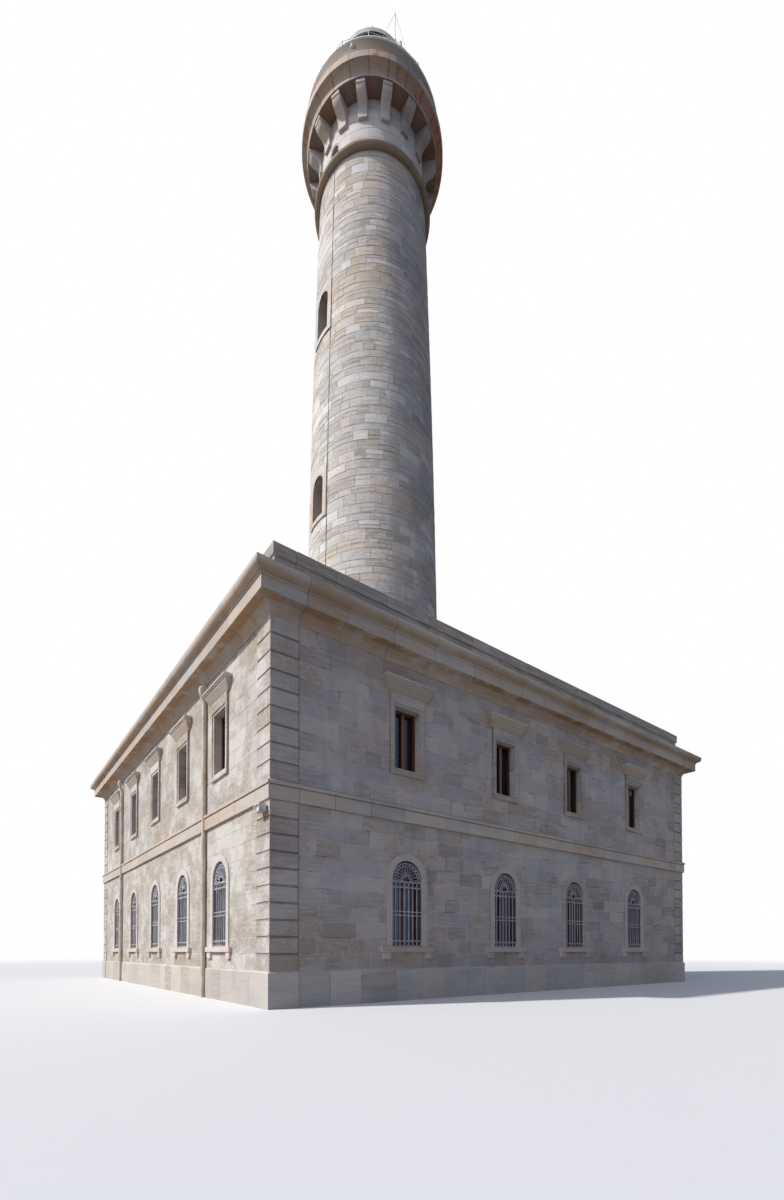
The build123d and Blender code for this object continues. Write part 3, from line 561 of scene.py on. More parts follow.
def mortar_finish(name, colour, dark):
    paint = Paint(name, Roughness=0.95)
    grit = paint.cloud(30, 4, 0.7)
    lost = paint.cloud(1.9, 4, 0.6).over(0.52, 0.62)
    shade = paint.mix(lost, paint.mix(grit, colour, (180, 170, 155)), dark)
    return paint.feed(Base_Color=shade, Normal=paint.bump(grit, 0.004))


def wood_finish(name):
    paint = Paint(name, Roughness=0.45)
    grain = paint.cloud(9, 6, 0.6, 0.5, 1.2, 6)
    colour = paint.ramp(grain, (0.3, (58, 28, 20)), (0.7, (104, 56, 40)))
    colour = paint.mix(paint.cloud(2.5, 3).over(0.5, 0.7) * 0.3, colour, (108, 68, 50))
    return paint.feed(Base_Color=colour, Normal=paint.bump(grain, 0.001), Roughness=grain * 0.3 + 0.3)


def glass_finish(name, colour, roughness):
    paint = Paint(name, Roughness=roughness, IOR=1.5, Specular_IOR_Level=0.25)
    grime = paint.cloud(6, 4, 0.6)
    shade = paint.mix(grime.over(0.35, 0.75), colour, (92, 96, 100))
    return paint.feed(Base_Color=shade, Roughness=grime * 0.2 + roughness)


def metal_finish(name, colour, worn, rust, roughness=0.4, underside_shade=None):
    paint = Paint(name, Roughness=roughness)
    fade = paint.cloud(5, 4, 0.6)
    fleck = paint.cloud(26, 4, 0.7).over(0.62, 0.70)
    shade = paint.mix(fade.over(0.4, 0.65), colour, worn)
    shade = paint.mix(fleck * fade.over(0.5, 0.7), shade, rust)
    # Painted shade: faces that look down take the given darker colour
    if underside_shade:
        shade = paint.mix((0 - paint.facing()[2]).over(0.3, 0.7), shade, underside_shade)
    return paint.feed(Base_Color=shade, Roughness=fleck * 0.3 + roughness, Normal=paint.bump(fade, 0.002))


def pane_finish(name):
    """Panes with a painted reflection of blue, and behind them a dark room in painted shade, a blind, and
    curtains downstairs with painted shading in their folds.
    """
    paint = Paint(name, Roughness=0.12, Specular_IOR_Level=0.25)
    across, rise, lower, flank, tone = map(paint.own, ("across", "rise", "lower", "flank", "tone"))
    drift = paint.cloud(3, 3, 0.5)
    upper = 1 - lower
    # Painted reflection: blue over the outer side of each upper pane
    painted_reflection = (1 - across.over(-0.07, -0.04)) * upper
    shutter = flank * upper
    blind = rise.over(0.83, 0.85) * tone.over(0.35, 0.36) * upper * (1 - shutter)
    # Painted light and shade across the curtains' folds
    fold_shading = (across * (tone * 30 + 70) + drift * 3).wave() * 0.5 + 0.5
    curtain = (abs(across) + drift * 0.06).over(0.06, 0.09) * lower
    # A near-black ground: painted shade of the unlit room behind the panes
    colour = paint.lay(
        paint.ramp(drift, (0.35, (14, 15, 18)), (0.65, (34, 36, 40))),
        (painted_reflection * (tone * 0.4 + 0.6), (30, 58, 112)),
        (shutter, paint.mix(drift, (62, 36, 30), (98, 62, 52))),
        (blind, (150, 146, 138)),
        (curtain * (tone * 0.3 + 0.6), paint.mix(fold_shading, (98, 112, 136), (168, 180, 200))),
    )
    return paint.feed(Base_Color=colour, Roughness=drift * 0.15 + 0.05)


WHITE_PAINT = ((226, 226, 222), (196, 194, 188), (150, 104, 70))
tower_mortar = mortar_finish("tower_mortar", (214, 206, 196), (142, 132, 122))
drum_mortar = mortar_finish("drum_mortar", (214, 207, 198), (176, 166, 158))
open_joint_shade = mortar_finish("dark_joint", (70, 64, 62), (52, 48, 48))
casement_wood = wood_finish("casement_wood")
window_pane = pane_finish("window_panes")
tower_pane = glass_finish("tower_pane", (120, 98, 78), 0.4)
lantern_glass = glass_finish("lantern_glass", (58, 54, 52), 0.3)
white_metal = metal_finish("white_metal", *WHITE_PAINT)
# The eaves' paint, with painted shade on their underside
eaves_metal = metal_finish("eaves_metal", *WHITE_PAINT, underside_shade=(96, 80, 70))
pipe_metal = metal_finish("pipe_metal", (216, 203, 188), (194, 174, 154), (150, 112, 84), 0.6)
grille_metal = metal_finish("grille_metal", (200, 200, 206), (176, 174, 178), (140, 116, 100), 0.5)
strap_metal = metal_finish("strap_metal", (132, 122, 112), (110, 100, 92), (96, 74, 58), 0.7)


# Modelling helpers

def only(*things):
    """Selects these objects alone and makes the first one active."""
    bpy.ops.object.select_all(action="DESELECT")
    for thing in things:
        thing.select_set(True)
    bpy.context.view_layer.objects.active = things[0]


def settle(piece):
    """Puts a piece's place, turn and scale into its mesh."""
    only(piece)
    bpy.ops.object.transform_apply(location=True, rotation=True, scale=True)
    return piece


def start_block(name, size, place=(0, 0, 0)):
    bpy.ops.object.select_all(action="DESELECT")
    bpy.ops.mesh.primitive_cube_add(size=1, location=place)
    piece = bpy.context.object
    piece.name = name
    piece.scale = size
    return settle(piece)


def pick(piece, kind, test=None):
    """In edit mode, selects all, or what passes a test.

    The test is given a face's middle and normal, an edge's two ends or a vertex's place.
    """
    only(piece)
    bpy.ops.object.mode_set(mode="EDIT")
    bpy.ops.mesh.select_mode(type=kind)
    bpy.ops.mesh.select_all(action="DESELECT" if test else "SELECT")
    if not test:
        return
    bpy.ops.object.mode_set(mode="OBJECT")
    mesh = piece.data
    if kind == "FACE":
        for face in mesh.polygons:
            face.select = test(face.center, face.normal)
    elif kind == "EDGE":
        for edge in mesh.edges:
            edge.select = test(*(mesh.vertices[index].co for index in edge.vertices))
    else:
        for vertex in mesh.vertices:
            vertex.select = test(vertex.co)
    bpy.ops.object.mode_set(mode="EDIT")


def leave():
    bpy.ops.object.mode_set(mode="OBJECT")


def apply_modifier(piece, kind, **settings):
    modifier = piece.modifiers.new(kind.lower(), kind)
    for key, value in settings.items():
        setattr(modifier, key, value)
    only(piece)
    bpy.ops.object.modifier_apply(modifier=modifier.name)


def join(name, pieces):
    only(*pieces)
    if len(pieces) > 1:
        bpy.ops.object.join()
    pieces[0].name = name
    return pieces[0]


def finish_piece(piece, material, replaces=()):
    """Gives a piece its finish and rides it on the building."""
    piece.data.materials.clear()
    piece.data.materials.append(material)
    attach(piece, "root")
    if replaces:
        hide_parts(*replaces)


def coat(names, material):
    """A finish for solids that stay as they are."""
    for name in names:
        nodes[name].data.materials.clear()
        nodes[name].data.materials.append(material)


def keep(mesh, name, values, kind="FACE"):
    """Keeps a number on each face or corner for the finish to read."""
    mesh.attributes.new(name, "FLOAT", kind).data.foreach_set("value", np.asarray(values, np.float32))


def vertex_spots(piece):
    spots = np.zeros(len(piece.data.vertices) * 3)
    piece.data.vertices.foreach_get("co", spots)
    return spots.reshape(-1, 3)


def place_spots(piece, spots):
    piece.data.vertices.foreach_set("co", spots.reshape(-1))
    piece.data.update()


def turned_about(spots, turn):
    """Places turned about the tower's axis."""
    cos, sin = math.cos(math.radians(turn)), math.sin(math.radians(turn))
    x, y, z = spots.T
    return np.stack([x * cos - y * sin, x * sin + y * cos, z], 1)


def copies(name, pattern, spots, rng=None):
    """One mesh of copies of a pattern, from each copy's places, with a tone and a blush for each."""
    mesh = pattern.data
    sizes = np.array([len(face.vertices) for face in mesh.polygons])
    corners = np.concatenate([np.array(face.vertices) for face in mesh.polygons])
    smooth = np.zeros(len(sizes), bool)
    mesh.polygons.foreach_get("use_smooth", smooth)
    count = len(spots)
    loops = (corners[None] + np.arange(count)[:, None] * len(mesh.vertices)).reshape(-1)
    totals = np.tile(sizes, count)
    starts = np.concatenate([[0], np.cumsum(totals)[:-1]])
    made = bpy.data.meshes.new(name)
    made.vertices.add(count * len(mesh.vertices))
    made.vertices.foreach_set("co", np.asarray(spots).reshape(-1))
    made.loops.add(len(loops))
    made.loops.foreach_set("vertex_index", loops.astype(np.int32))
    made.polygons.add(len(totals))
    made.polygons.foreach_set("loop_start", starts.astype(np.int32))
    made.polygons.foreach_set("use_smooth", np.tile(smooth, count))
    made.update(calc_edges=True)
    if rng:
        for key in ("tone", "blush"):
            keep(made, key, np.repeat([rng.random() for _ in range(count)], len(sizes)))
    piece = bpy.data.objects.new(name, made)
    bpy.context.scene.collection.objects.link(piece)
    return piece


# Masonry: a modelled stone, copied and fitted to each place in a wall

STONE_HALF = 0.1
STONE_ARRIS = 0.02
ARRIS_SHARE = 0.12
LEAST_LAP = 0.07
LAP_SHIFT = 0.09
LEAST_END = 0.6
CUT_DEPTH = 0.2
SURROUND_OVERLAP = 0.05


def model_stone(name, cuts=0, roughness=0.0, seed=1):
    """A dressed stone with a chamfered face."""
    stone = start_block(name, (2 * STONE_HALF, 2 * STONE_HALF, 2 * STONE_HALF))
    pick(stone, "EDGE", lambda a, b: abs(a.y + STONE_HALF) < 1e-5 and abs(b.y + STONE_HALF) < 1e-5)
    bpy.ops.mesh.bevel(offset=STONE_ARRIS, offset_type="OFFSET", segments=1, affect="EDGES")
    leave()
    if cuts:
        pick(stone, "FACE", lambda middle, normal: normal.y < -0.9)
        bpy.ops.mesh.subdivide(number_cuts=cuts)
        bpy.ops.transform.vertex_random(offset=roughness, seed=seed)
        leave()
    return stone


def laid(name, stone, places, rng, back=0.02):
    """One mesh of copies of a stone, each fitted to (left, right, foot, head, out)."""
    shape = vertex_spots(stone)
    left, right, foot, head, out = np.array(places, float).T
    half = np.stack([right - left, out + back, head - foot], 1) / 2
    middle = np.stack([left + right, back - out, foot + head], 1) / 2
    inner = STONE_HALF - STONE_ARRIS
    core = np.clip(shape, -inner, inner)
    edge = (shape - core) * ARRIS_SHARE
    lip = STONE_ARRIS * ARRIS_SHARE
    spots = core[None] / inner * (half[:, None] - lip) + edge[None] + middle[:, None]
    return copies(name, stone, spots, rng)


def coursed(half_length, levels, lengths, joint, rng):
    """Stones laid in courses, with each upright joint clear of those below it."""
    stones = []
    below = []
    for foot, head in zip(levels, levels[1:]):
        here = [-half_length]
        while here[-1] < half_length:
            place = here[-1] + rng.uniform(*lengths)
            if any(abs(place - old) < LEAST_LAP for old in below):
                place += LAP_SHIFT
            here.append(place)
        if half_length - here[-2] < lengths[0] * LEAST_END and len(here) > 2:
            here.pop(-2)
        here[-1] = half_length
        for x0, x1 in zip(here, here[1:]):
            stones.append([x0 + joint / 2, x1 - joint / 2, foot + joint / 2, head - joint / 2])
        below = here[1:-1]
    return stones


def arch_cutter(half, foot, spring, middle):
    """A solid arch with a half-round head, to cut stones to an opening."""
    bpy.ops.object.select_all(action="DESELECT")
    bpy.ops.mesh.primitive_cylinder_add(
        vertices=32, radius=half, depth=CUT_DEPTH, location=(middle, 0, spring), rotation=(math.pi / 2, 0, 0)
    )
    cutter = settle(bpy.context.object)
    for vertex in cutter.data.vertices:
        if vertex.co.z < spring - 1e-4:
            away = vertex.co.x - middle
            vertex.co.z = foot
            vertex.co.x = middle + (math.copysign(half, away) if abs(away) > 1e-4 else 0)
    return cutter


def cut_round(name, stone, places, openings, rng):
    """Stones of a wall, cut to the openings: (half width, foot, spring, middle, arched)."""
    whole, touched = [], []
    for place in places:
        x0, x1, z0, z1 = place[:4]
        state = "clear"
        for half, foot, spring, middle, arched in openings:
            top = spring + half if arched else spring
            if x1 > middle - half and x0 < middle + half and z1 > foot and z0 < top:
                inside = x0 >= middle - half and x1 <= middle + half and z0 >= foot and z1 <= spring
                state = "inside" if inside else "touched"
        if state == "clear":
            whole.append(place)
        elif state == "touched":
            touched.append(place)
    pieces = [laid(name, stone, whole, rng)]
    if touched:
        cut = laid(name + "_cut", stone, touched, rng)
        cutters = []
        for half, foot, spring, middle, arched in openings:
            if arched:
                cutters.append(arch_cutter(half, foot, spring, middle))
            else:
                size = (2 * half, CUT_DEPTH, spring - foot)
                cutters.append(start_block("cutter", size, (middle, 0, (foot + spring) / 2)))
        cutter = join("cutter", cutters)
        apply_modifier(cut, "BOOLEAN", operation="DIFFERENCE", object=cutter, solver="EXACT")
        bpy.data.objects.remove(cutter)
        pieces.append(cut)
    return join(name, pieces)


# Ashlar of the four walls

ASHLAR_OUT = 0.0022
ASHLAR_UNEVENNESS = (-0.0008, 0.0010)
ASHLAR_LENGTHS = (0.26, 0.58)
ASHLAR_JOINT = 0.009
PIER_JOINT = 0.006
SIDE_EVENNESS = {"tone": 0.5, "blush": 0.62}

ashlar_stone = model_stone("ashlar_stone")
for number, (side, (turn, face, half_length, bays)) in enumerate(sides.items()):
    rng = random.Random(40 + number)
    places = []
    for foot, course, rows in ((plinth_top, lower_course, lower_rows), (belt_top, upper_course, upper_rows)):
        levels = [foot + row * course for row in range(rows + 1)]
        places += coursed(half_length - pier_width - PIER_JOINT, levels, ASHLAR_LENGTHS, ASHLAR_JOINT, rng)
    places = [place + [ASHLAR_OUT + rng.uniform(*ASHLAR_UNEVENNESS)] for place in places]
    openings = []
    for bay in bays:
        width, foot, spring = lower_window
        openings.append((width / 2 + SURROUND_OVERLAP, foot, spring, bay, True))
        width, foot, head = upper_window
        lap = SURROUND_OVERLAP
        openings.append((width / 2 + lap, foot - lap, head + lap, bay, False))
    wall = cut_round(side + "_ashlar", ashlar_stone, places, openings, rng)
    if side != "front":
        for key, share in SIDE_EVENNESS.items():
            for stone in wall.data.attributes[key].data:
                stone.value = 0.5 + (stone.value - 0.5) * share
    place_spots(wall, turned_about(vertex_spots(wall) - (0, face, 0), turn))
    finish_piece(wall, wall_stone)
bpy.data.objects.remove(ashlar_stone)


# Stones of the tower shaft, laid flat and wrapped round it

SHEET_RADIUS = 1.7
SHEET_HALF = math.pi * SHEET_RADIUS
SHAFT_BREAKS = (5.6, 13.6, shaft_top)
SHAFT_COURSES = (0.18, 0.22, 0.25, 0.28)
LEAST_COURSE = 0.16
SHAFT_LENGTHS = (0.26, 0.66)
SHAFT_JOINT = 0.009
SPLIT_COURSE = 0.20
SPLIT_CHANCE = 0.35
SPLIT_JOINT = 0.008
LEAST_OUT = 0.003
SHAFT_WEAR = 0.005
TOWER_SILL_LAP = 0.06


def shaft_radius(level):
    """The shaft's outer radius: a parabola through its foot, middle and top."""
    (z1, r1), (z2, r2), (z3, r3) = shaft_radii
    first = (level - z2) * (level - z3) / ((z1 - z2) * (z1 - z3)) * r1
    second = (level - z1) * (level - z3) / ((z2 - z1) * (z2 - z3)) * r2
    return first + second + (level - z1) * (level - z2) / ((z3 - z1) * (z3 - z2)) * r3


def along_sheet(turn, radius):
    """How far along a flat sheet a place lies that is wrapped to this turn about the tower."""
    return math.radians(turn - 270) * radius


def wrap_on_shaft(piece, wear=0.0, seed=0.0):
    """Wraps a flat sheet of stones round the shaft and wears their faces unevenly."""
    spots = vertex_spots(piece)
    for spot in spots:
        x, y, z = spot
        out = -y
        if out > 0:
            broad = noise.noise(Vector((x * 5 + seed, z * 9, 0.0)))
            small = noise.noise(Vector((x * 13, z * 21, seed)))
            out = max(LEAST_OUT, out + wear * (broad + 0.6 * small))
        angle = x / SHEET_RADIUS
        radius = shaft_radius(z) + out
        spot[0] = radius * math.sin(angle)
        spot[1] = -radius * math.cos(angle)
    place_spots(piece, spots)


def broken_courses(foot, head, rng):
    """Tower masonry: courses of uneven height, some of their stones split in two."""
    levels = [foot]
    while levels[-1] < head - LEAST_COURSE:
        levels.append(levels[-1] + rng.choice(SHAFT_COURSES))
    levels[-1] = head
    places = []
    for x0, x1, z0, z1 in coursed(SHEET_HALF, levels, SHAFT_LENGTHS, SHAFT_JOINT, rng):
        out = rng.uniform(0.004, 0.009)
        if z1 - z0 > SPLIT_COURSE and rng.random() < SPLIT_CHANCE:
            split = z0 + (z1 - z0) * rng.uniform(0.4, 0.6)
            places.append([x0, x1, z0, split - SPLIT_JOINT / 2, out])
            places.append([x0, x1, split + SPLIT_JOINT / 2, z1, out + rng.uniform(-0.002, 0.002)])
        else:
            places.append([x0, x1, z0, z1, out])
    return places


shaft_stone = model_stone("shaft_stone", 3, 0.004, 3)
for number, name in enumerate(("lower_shaft_stones", "upper_shaft_stones")):
    foot, head = SHAFT_BREAKS[number:number + 2]
    rng = random.Random(70 + number)
    openings = []
    for level in tower_levels:
        if foot < level < head:
            width, rise = tower_window
            lap = math.asin((width / 2 + SURROUND_OVERLAP) / shaft_radius(level)) * SHEET_RADIUS
            for middle in (-SHEET_HALF / 2, SHEET_HALF / 2):
                openings.append((lap, level - TOWER_SILL_LAP, level + rise, middle, True))
    shaft = cut_round(name, shaft_stone, broken_courses(foot, head, rng), openings, rng)
    wrap_on_shaft(shaft, SHAFT_WEAR, 10.0 * number)
    finish_piece(shaft, tower_stone)
bpy.data.objects.remove(shaft_stone)


# Stones cut from the solids themselves

RUN_HALF = 0.5
RUN_ARRIS = 0.004
RUN_JOINT = 0.005
RUN_GAP = 0.004
RUN_UNEVENNESS = 0.0015


def surface_of(node, name, test=None):
    """A copy of a solid's surface, or the part of it that passes a test, with its facets merged."""
    piece = bpy.data.objects.new(name, nodes[node].data.copy())
    bpy.context.scene.collection.objects.link(piece)
    if test:
        pick(piece, "FACE", lambda middle, normal: not test(middle, normal))
        bpy.ops.mesh.delete(type="FACE")
        leave()
    pick(piece, "FACE")
    bpy.ops.mesh.remove_doubles(threshold=1e-5)
    bpy.ops.mesh.dissolve_limited(angle_limit=math.radians(0.6))
    leave()
    return piece


def run_stone(node):
    """One stone of a run: the run's own end face, drawn out along X and chamfered."""
    end = wall_x - pier_width
    stone = surface_of(node, "run_stone", lambda middle, normal: (
        abs(middle.x + end) < 0.001 and normal.x < -0.99 and middle.y < 0.6 - wall_y
    ))
    for vertex in stone.data.vertices:
        vertex.co.x = -RUN_HALF
    pick(stone, "FACE")
    bpy.ops.mesh.extrude_region_move(TRANSFORM_OT_translate={"value": (2 * RUN_HALF, 0, 0)})
    bpy.ops.mesh.select_all(action="SELECT")
    bpy.ops.mesh.normals_make_consistent(inside=False)
    leave()
    pick(stone, "EDGE", lambda a, b: abs(a.x - b.x) < 1e-6)
    bpy.ops.mesh.bevel(
        offset=RUN_ARRIS, offset_type="OFFSET", segments=1, affect="EDGES", clamp_overlap=True
    )
    leave()
    return stone


def dress_runs(node, lengths, seed):
    """The four runs of a moulding as single stones with upright joints."""
    stone = run_stone(node)
    shape = vertex_spots(stone)
    inner = RUN_HALF - RUN_ARRIS
    core = np.clip(shape[:, 0], -inner, inner)
    edge = shape[:, 0] - core
    rng = random.Random(seed)
    stones = []
    for turn, face, half_length, bays in sides.values():
        end = half_length - pier_width - RUN_GAP
        joints = [-end]
        while joints[-1] < end - lengths[1]:
            joints.append(joints[-1] + rng.uniform(*lengths))
        joints.append(end)
        for x0, x1 in zip(joints, joints[1:]):
            left, right = x0 + RUN_JOINT / 2, x1 - RUN_JOINT / 2
            spots = shape.copy()
            spots[:, 0] = core / inner * ((right - left) / 2 - RUN_ARRIS) + edge + (left + right) / 2
            spots[:, 1] += wall_y - face + rng.uniform(-RUN_UNEVENNESS, RUN_UNEVENNESS)
            stones.append(turned_about(spots, turn))
    finish_piece(copies(node + "_stones", stone, stones, rng), trim_stone, [node])
    bpy.data.objects.remove(stone)


dress_runs("plinth", (0.38, 0.66), 11)
dress_runs("belt_course", (0.42, 0.74), 12)
dress_runs("cornice", (0.55, 0.95), 13)
dress_runs("parapet", (0.60, 1.05), 14)


# Dark strips over the open joints beside the corner piers: painted shade of the gaps

STRIP_WIDE = 0.012
STRIP_DEEP = 0.004
STRIP_OUT = 0.001
strips = []
for turn, face, half_length, bays in sides.values():
    for sign in (-1, 1):
        middle = sign * (half_length - pier_width - STRIP_WIDE / 2)
        for foot, head in ((plinth_top, belt_foot), (belt_top, cornice_foot)):
            size = (STRIP_WIDE, STRIP_DEEP, head - foot)
            strip = start_block("strip", size, (middle, -face - STRIP_OUT, (foot + head) / 2))
            pick(strip, "FACE", lambda middle, normal: normal.y < -0.9)
            bpy.ops.mesh.subdivide(number_cuts=3)
            leave()
            place_spots(strip, turned_about(vertex_spots(strip), turn))
            strips.append(strip)
finish_piece(join("pier_joints", strips), open_joint_shade)


# Stones that keep their solid's form, with worn arrises and a tone for each stone

BAY_STEP = 0.97
CORBELS = 16


def toned_by(piece, stone_of, seed, spread=1.0):
    """Draws a tone and a blush for each stone, told apart by a face's middle."""
    rng = random.Random(seed)
    owners = [stone_of(face.center) for face in piece.data.polygons]
    drawn = {}
    for owner in owners:
        if owner not in drawn:
            drawn[owner] = [0.5 + (rng.random() - 0.5) * spread for _ in range(2)]
    for number, key in enumerate(("tone", "blush")):
        keep(piece.data, key, [drawn[owner][number] for owner in owners])


def dress_whole(node, width, stone_of, material, seed, soot_and_shade_of=None, spread=1.0):
    piece = surface_of(node, node + "_dressed")
    apply_modifier(
        piece, "BEVEL", width=width, segments=1, limit_method="ANGLE", angle_limit=math.radians(30),
        use_clamp_overlap=True,
    )
    toned_by(piece, stone_of, seed, spread)
    # A number for each face: painted shade where the given function picks it
    if soot_and_shade_of:
        keep(piece.data, "soot", [soot_and_shade_of(face.center, face.normal) for face in piece.data.polygons])
    finish_piece(piece, material, [node])


def nearest_window(middle):
    """Whether a place is on a left or right side, its place along it, and how far its window is."""
    flanking = abs(middle.x) > abs(middle.y)
    along = middle.y if flanking else middle.x
    return flanking, along, min(abs(abs(along) - bay) for bay in (side_bays if flanking else front_bays))


def groove_shade(middle, normal):
    """Painted shade in the level grooves between pier stones."""
    inside = plinth_top + 0.02 < middle.z < cornice_foot - 0.02
    return 0.5 if inside and abs(normal.z) > 0.3 else 0.0


def edge_shadow(middle, normal):
    """Painted shadow on the outer side faces of a window's frame."""
    flanking, _, reach = nearest_window(middle)
    sideways = normal.y if flanking else normal.x
    return 0.4 if reach > upper_window[0] / 2 + 0.08 and abs(sideways) > 0.7 else 0.0


def arch_shade(middle, normal):
    """Painted shade on the outer faces round a lower window's surround."""
    flanking, _, reach = nearest_window(middle)
    outward = normal.x if flanking else normal.y
    reach = math.hypot(reach, max(0, middle.z - lower_window[2]))
    return 0.45 if reach > lower_window[0] / 2 + 0.09 and abs(outward) < 0.5 else 0.0


def sleeve_shadow(middle, normal):
    """Painted shadow round the outside of a tower window's frame."""
    outward = abs(middle.x * normal.x + middle.y * normal.y) / math.hypot(middle.x, middle.y)
    outer = abs(middle.y) > tower_window[0] / 2 + 0.07 or normal.z < -0.7
    return 0.8 if outward < 0.5 and outer else 0.0


def quadrant(middle):
    return (middle.x > 0, middle.y > 0)


def tower_window_stone(middle):
    return (middle.x > 0, round(middle.z * 4))


def pier_course(middle):
    if middle.z < belt_foot:
        return quadrant(middle) + (0, math.floor((middle.z - plinth_top) / lower_course))
    return quadrant(middle) + (1, math.floor((middle.z - belt_top) / upper_course))


def corner_stone(middle):
    return quadrant(middle) + (middle.z < plinth_top + 0.01, middle.z < belt_top + 0.01)


def window_bay(middle):
    flanking, along, _ = nearest_window(middle)
    return quadrant(middle) + (flanking, round(along / BAY_STEP))


def corbel_number(middle):
    return round(math.degrees(math.atan2(middle.y, middle.x)) / (360 / CORBELS)) % CORBELS


dress_whole("corner_piers", 0.003, pier_course, wall_stone, 21, groove_shade, 0.6)
dress_whole("corner_stones", 0.004, corner_stone, trim_stone, 22)
dress_whole("parapet_corners", 0.004, quadrant, trim_stone, 23)
dress_whole("upper_architraves", 0.003, window_bay, wall_stone, 24, edge_shadow)
dress_whole("upper_hoods", 0.003, window_bay, trim_stone, 25)
dress_whole("lower_sills", 0.005, window_bay, sill_stone, 26, None, 0.7)
dress_whole("lower_arch_surrounds", 0.003, window_bay, surround_stone, 29, arch_shade)
dress_whole("gallery_corbels", 0.008, corbel_number, head_stone, 27)
dress_whole("tower_window_surrounds", 0.004, tower_window_stone, tower_stone, 28, sleeve_shadow)


# Ring stones of the tower head, with radial joints

RING_JOINT = 0.012
RING_JOINT_DEPTH = 0.008
RING_INSIDE = 1.1


def dress_ring(node, count, start, seed):
    """A ring with a dark V joint at each of an even number of places, and a tone for each stone."""
    piece = surface_of(node, node + "_stones")
    planes = []
    for number in range(count // 2):
        angle = math.radians(start) + math.tau * number / count
        planes.append(Vector((-math.sin(angle), math.cos(angle), 0)))

    def by_joint(spot, reach):
        near = any(abs(spot.dot(normal)) < reach for normal in planes)
        return near and math.hypot(spot.x, spot.y) > RING_INSIDE

    def ring_stone(middle):
        angle = math.degrees(math.atan2(middle.y, middle.x)) - start
        return math.floor(angle / (360 / count)) % count

    pick(piece, "FACE")
    for normal in planes:
        for shift in (-RING_JOINT / 2, 0, RING_JOINT / 2):
            bpy.ops.mesh.select_all(action="SELECT")
            bpy.ops.mesh.bisect(plane_co=normal * shift, plane_no=normal)
    leave()
    pick(piece, "VERT", lambda spot: by_joint(spot, 2e-5))
    bpy.ops.transform.shrink_fatten(value=-RING_JOINT_DEPTH)
    leave()
    groove = RING_JOINT / 2 - 1e-4
    keep(piece.data, "soot", [0.55 * by_joint(face.center, groove) for face in piece.data.polygons])
    toned_by(piece, ring_stone, seed)
    only(piece)
    bpy.ops.mesh.customdata_custom_splitnormals_clear()
    bpy.ops.object.shade_smooth_by_angle(angle=math.radians(28))
    finish_piece(piece, head_stone, [node])


dress_ring("collar_ring", 20, 4, 31)
dress_ring("gallery_slab", SLAB_STONES, SLAB_START, 32)
dress_whole("gallery_parapet", 0.004, corbel_number, head_stone, 33)


# Iron grilles of the lower windows

GRILLE_BAR = 0.015
GRILLE_SET_BACK = 0.018
GRILLE_SPACES = 7
BAND_RAILS = ((0.010, 0.095), (0.935, 1.030))
MIDDLE_RAILS = (0.495, 0.555)
HOOP_GAP = 0.004
FAN_HUB = 0.085
FAN_LIFT = 0.006
FAN_INSET = 0.012
FAN_RAYS = 12
RAY_THICK = 0.011
SCROLL_RADIUS = 0.028
SCROLL_REACH = 0.046
grille_width, grille_foot, _ = lower_window


def forged_bar(length, place, turn=0.0, thick=GRILLE_BAR):
    """A square bar with chamfered corners, upright or turned in the window's plane."""
    bar = start_block("bar", (thick, thick, length))
    pick(bar, "EDGE", lambda a, b: abs(a.z - b.z) > length / 2)
    bpy.ops.mesh.bevel(offset=thick * 0.22, segments=1, affect="EDGES")
    leave()
    bar.rotation_euler = (0, math.radians(turn), 0)
    bar.location = place
    return settle(bar)


def forged_hoop(radius, place, thick=0.010, steps=20, angle=math.pi):
    """A half or whole hoop of square iron, spun from a small square."""
    bpy.ops.object.select_all(action="DESELECT")
    bpy.ops.mesh.primitive_plane_add(size=thick, location=(radius, 0, 0))
    hoop = settle(bpy.context.object)
    pick(hoop, "FACE")
    bpy.ops.mesh.spin(steps=steps, angle=angle, center=(0, 0, 0), axis=(0, 1, 0))
    leave()
    pick(hoop, "VERT")
    bpy.ops.mesh.remove_doubles(threshold=1e-5)
    bpy.ops.mesh.normals_make_consistent(inside=False)
    leave()
    hoop.location = place
    return settle(hoop)


def window_grille():
    """One grille: bars, ring bands at the foot and springing, and a fan of scrolls."""
    pitch = grille_width / GRILLE_SPACES
    (low_foot, low_head), (high_foot, high_head) = BAND_RAILS
    rails = (low_foot, low_head) + MIDDLE_RAILS + (high_foot, high_head)
    parts = [forged_bar(grille_width, (0, 0, level), 90) for level in rails]
    for number in range(1, GRILLE_SPACES):
        x = -grille_width / 2 + number * pitch
        parts.append(forged_bar(high_foot - low_head, (x, 0.002, (high_foot + low_head) / 2)))
    for foot, head in BAND_RAILS:
        for number in range(GRILLE_SPACES):
            x = -grille_width / 2 + (number + 0.5) * pitch
            parts.append(forged_hoop(pitch / 2 - HOOP_GAP, (x, 0, (foot + head) / 2), 0.008, 16, math.tau))
    fan_radius = grille_width / 2
    base = Vector((0, 0, high_head + FAN_LIFT))
    parts.append(forged_hoop(FAN_HUB, base))
    parts.append(forged_hoop(fan_radius - FAN_INSET, base))
    for number in range(FAN_RAYS):
        angle = math.pi * (number + 0.5) / FAN_RAYS
        way = Vector((math.cos(angle), 0, math.sin(angle)))
        inner, outer = FAN_HUB + HOOP_GAP, fan_radius - SCROLL_REACH - SCROLL_RADIUS - 0.001
        ray_middle = way * ((inner + outer) / 2) + base
        parts.append(forged_bar(outer - inner, ray_middle, 90 - math.degrees(angle), RAY_THICK))
        scroll = way * (fan_radius - SCROLL_REACH) + base
        parts.append(forged_hoop(SCROLL_RADIUS, scroll, 0.010, 12, math.tau))
    return join("grille", parts)


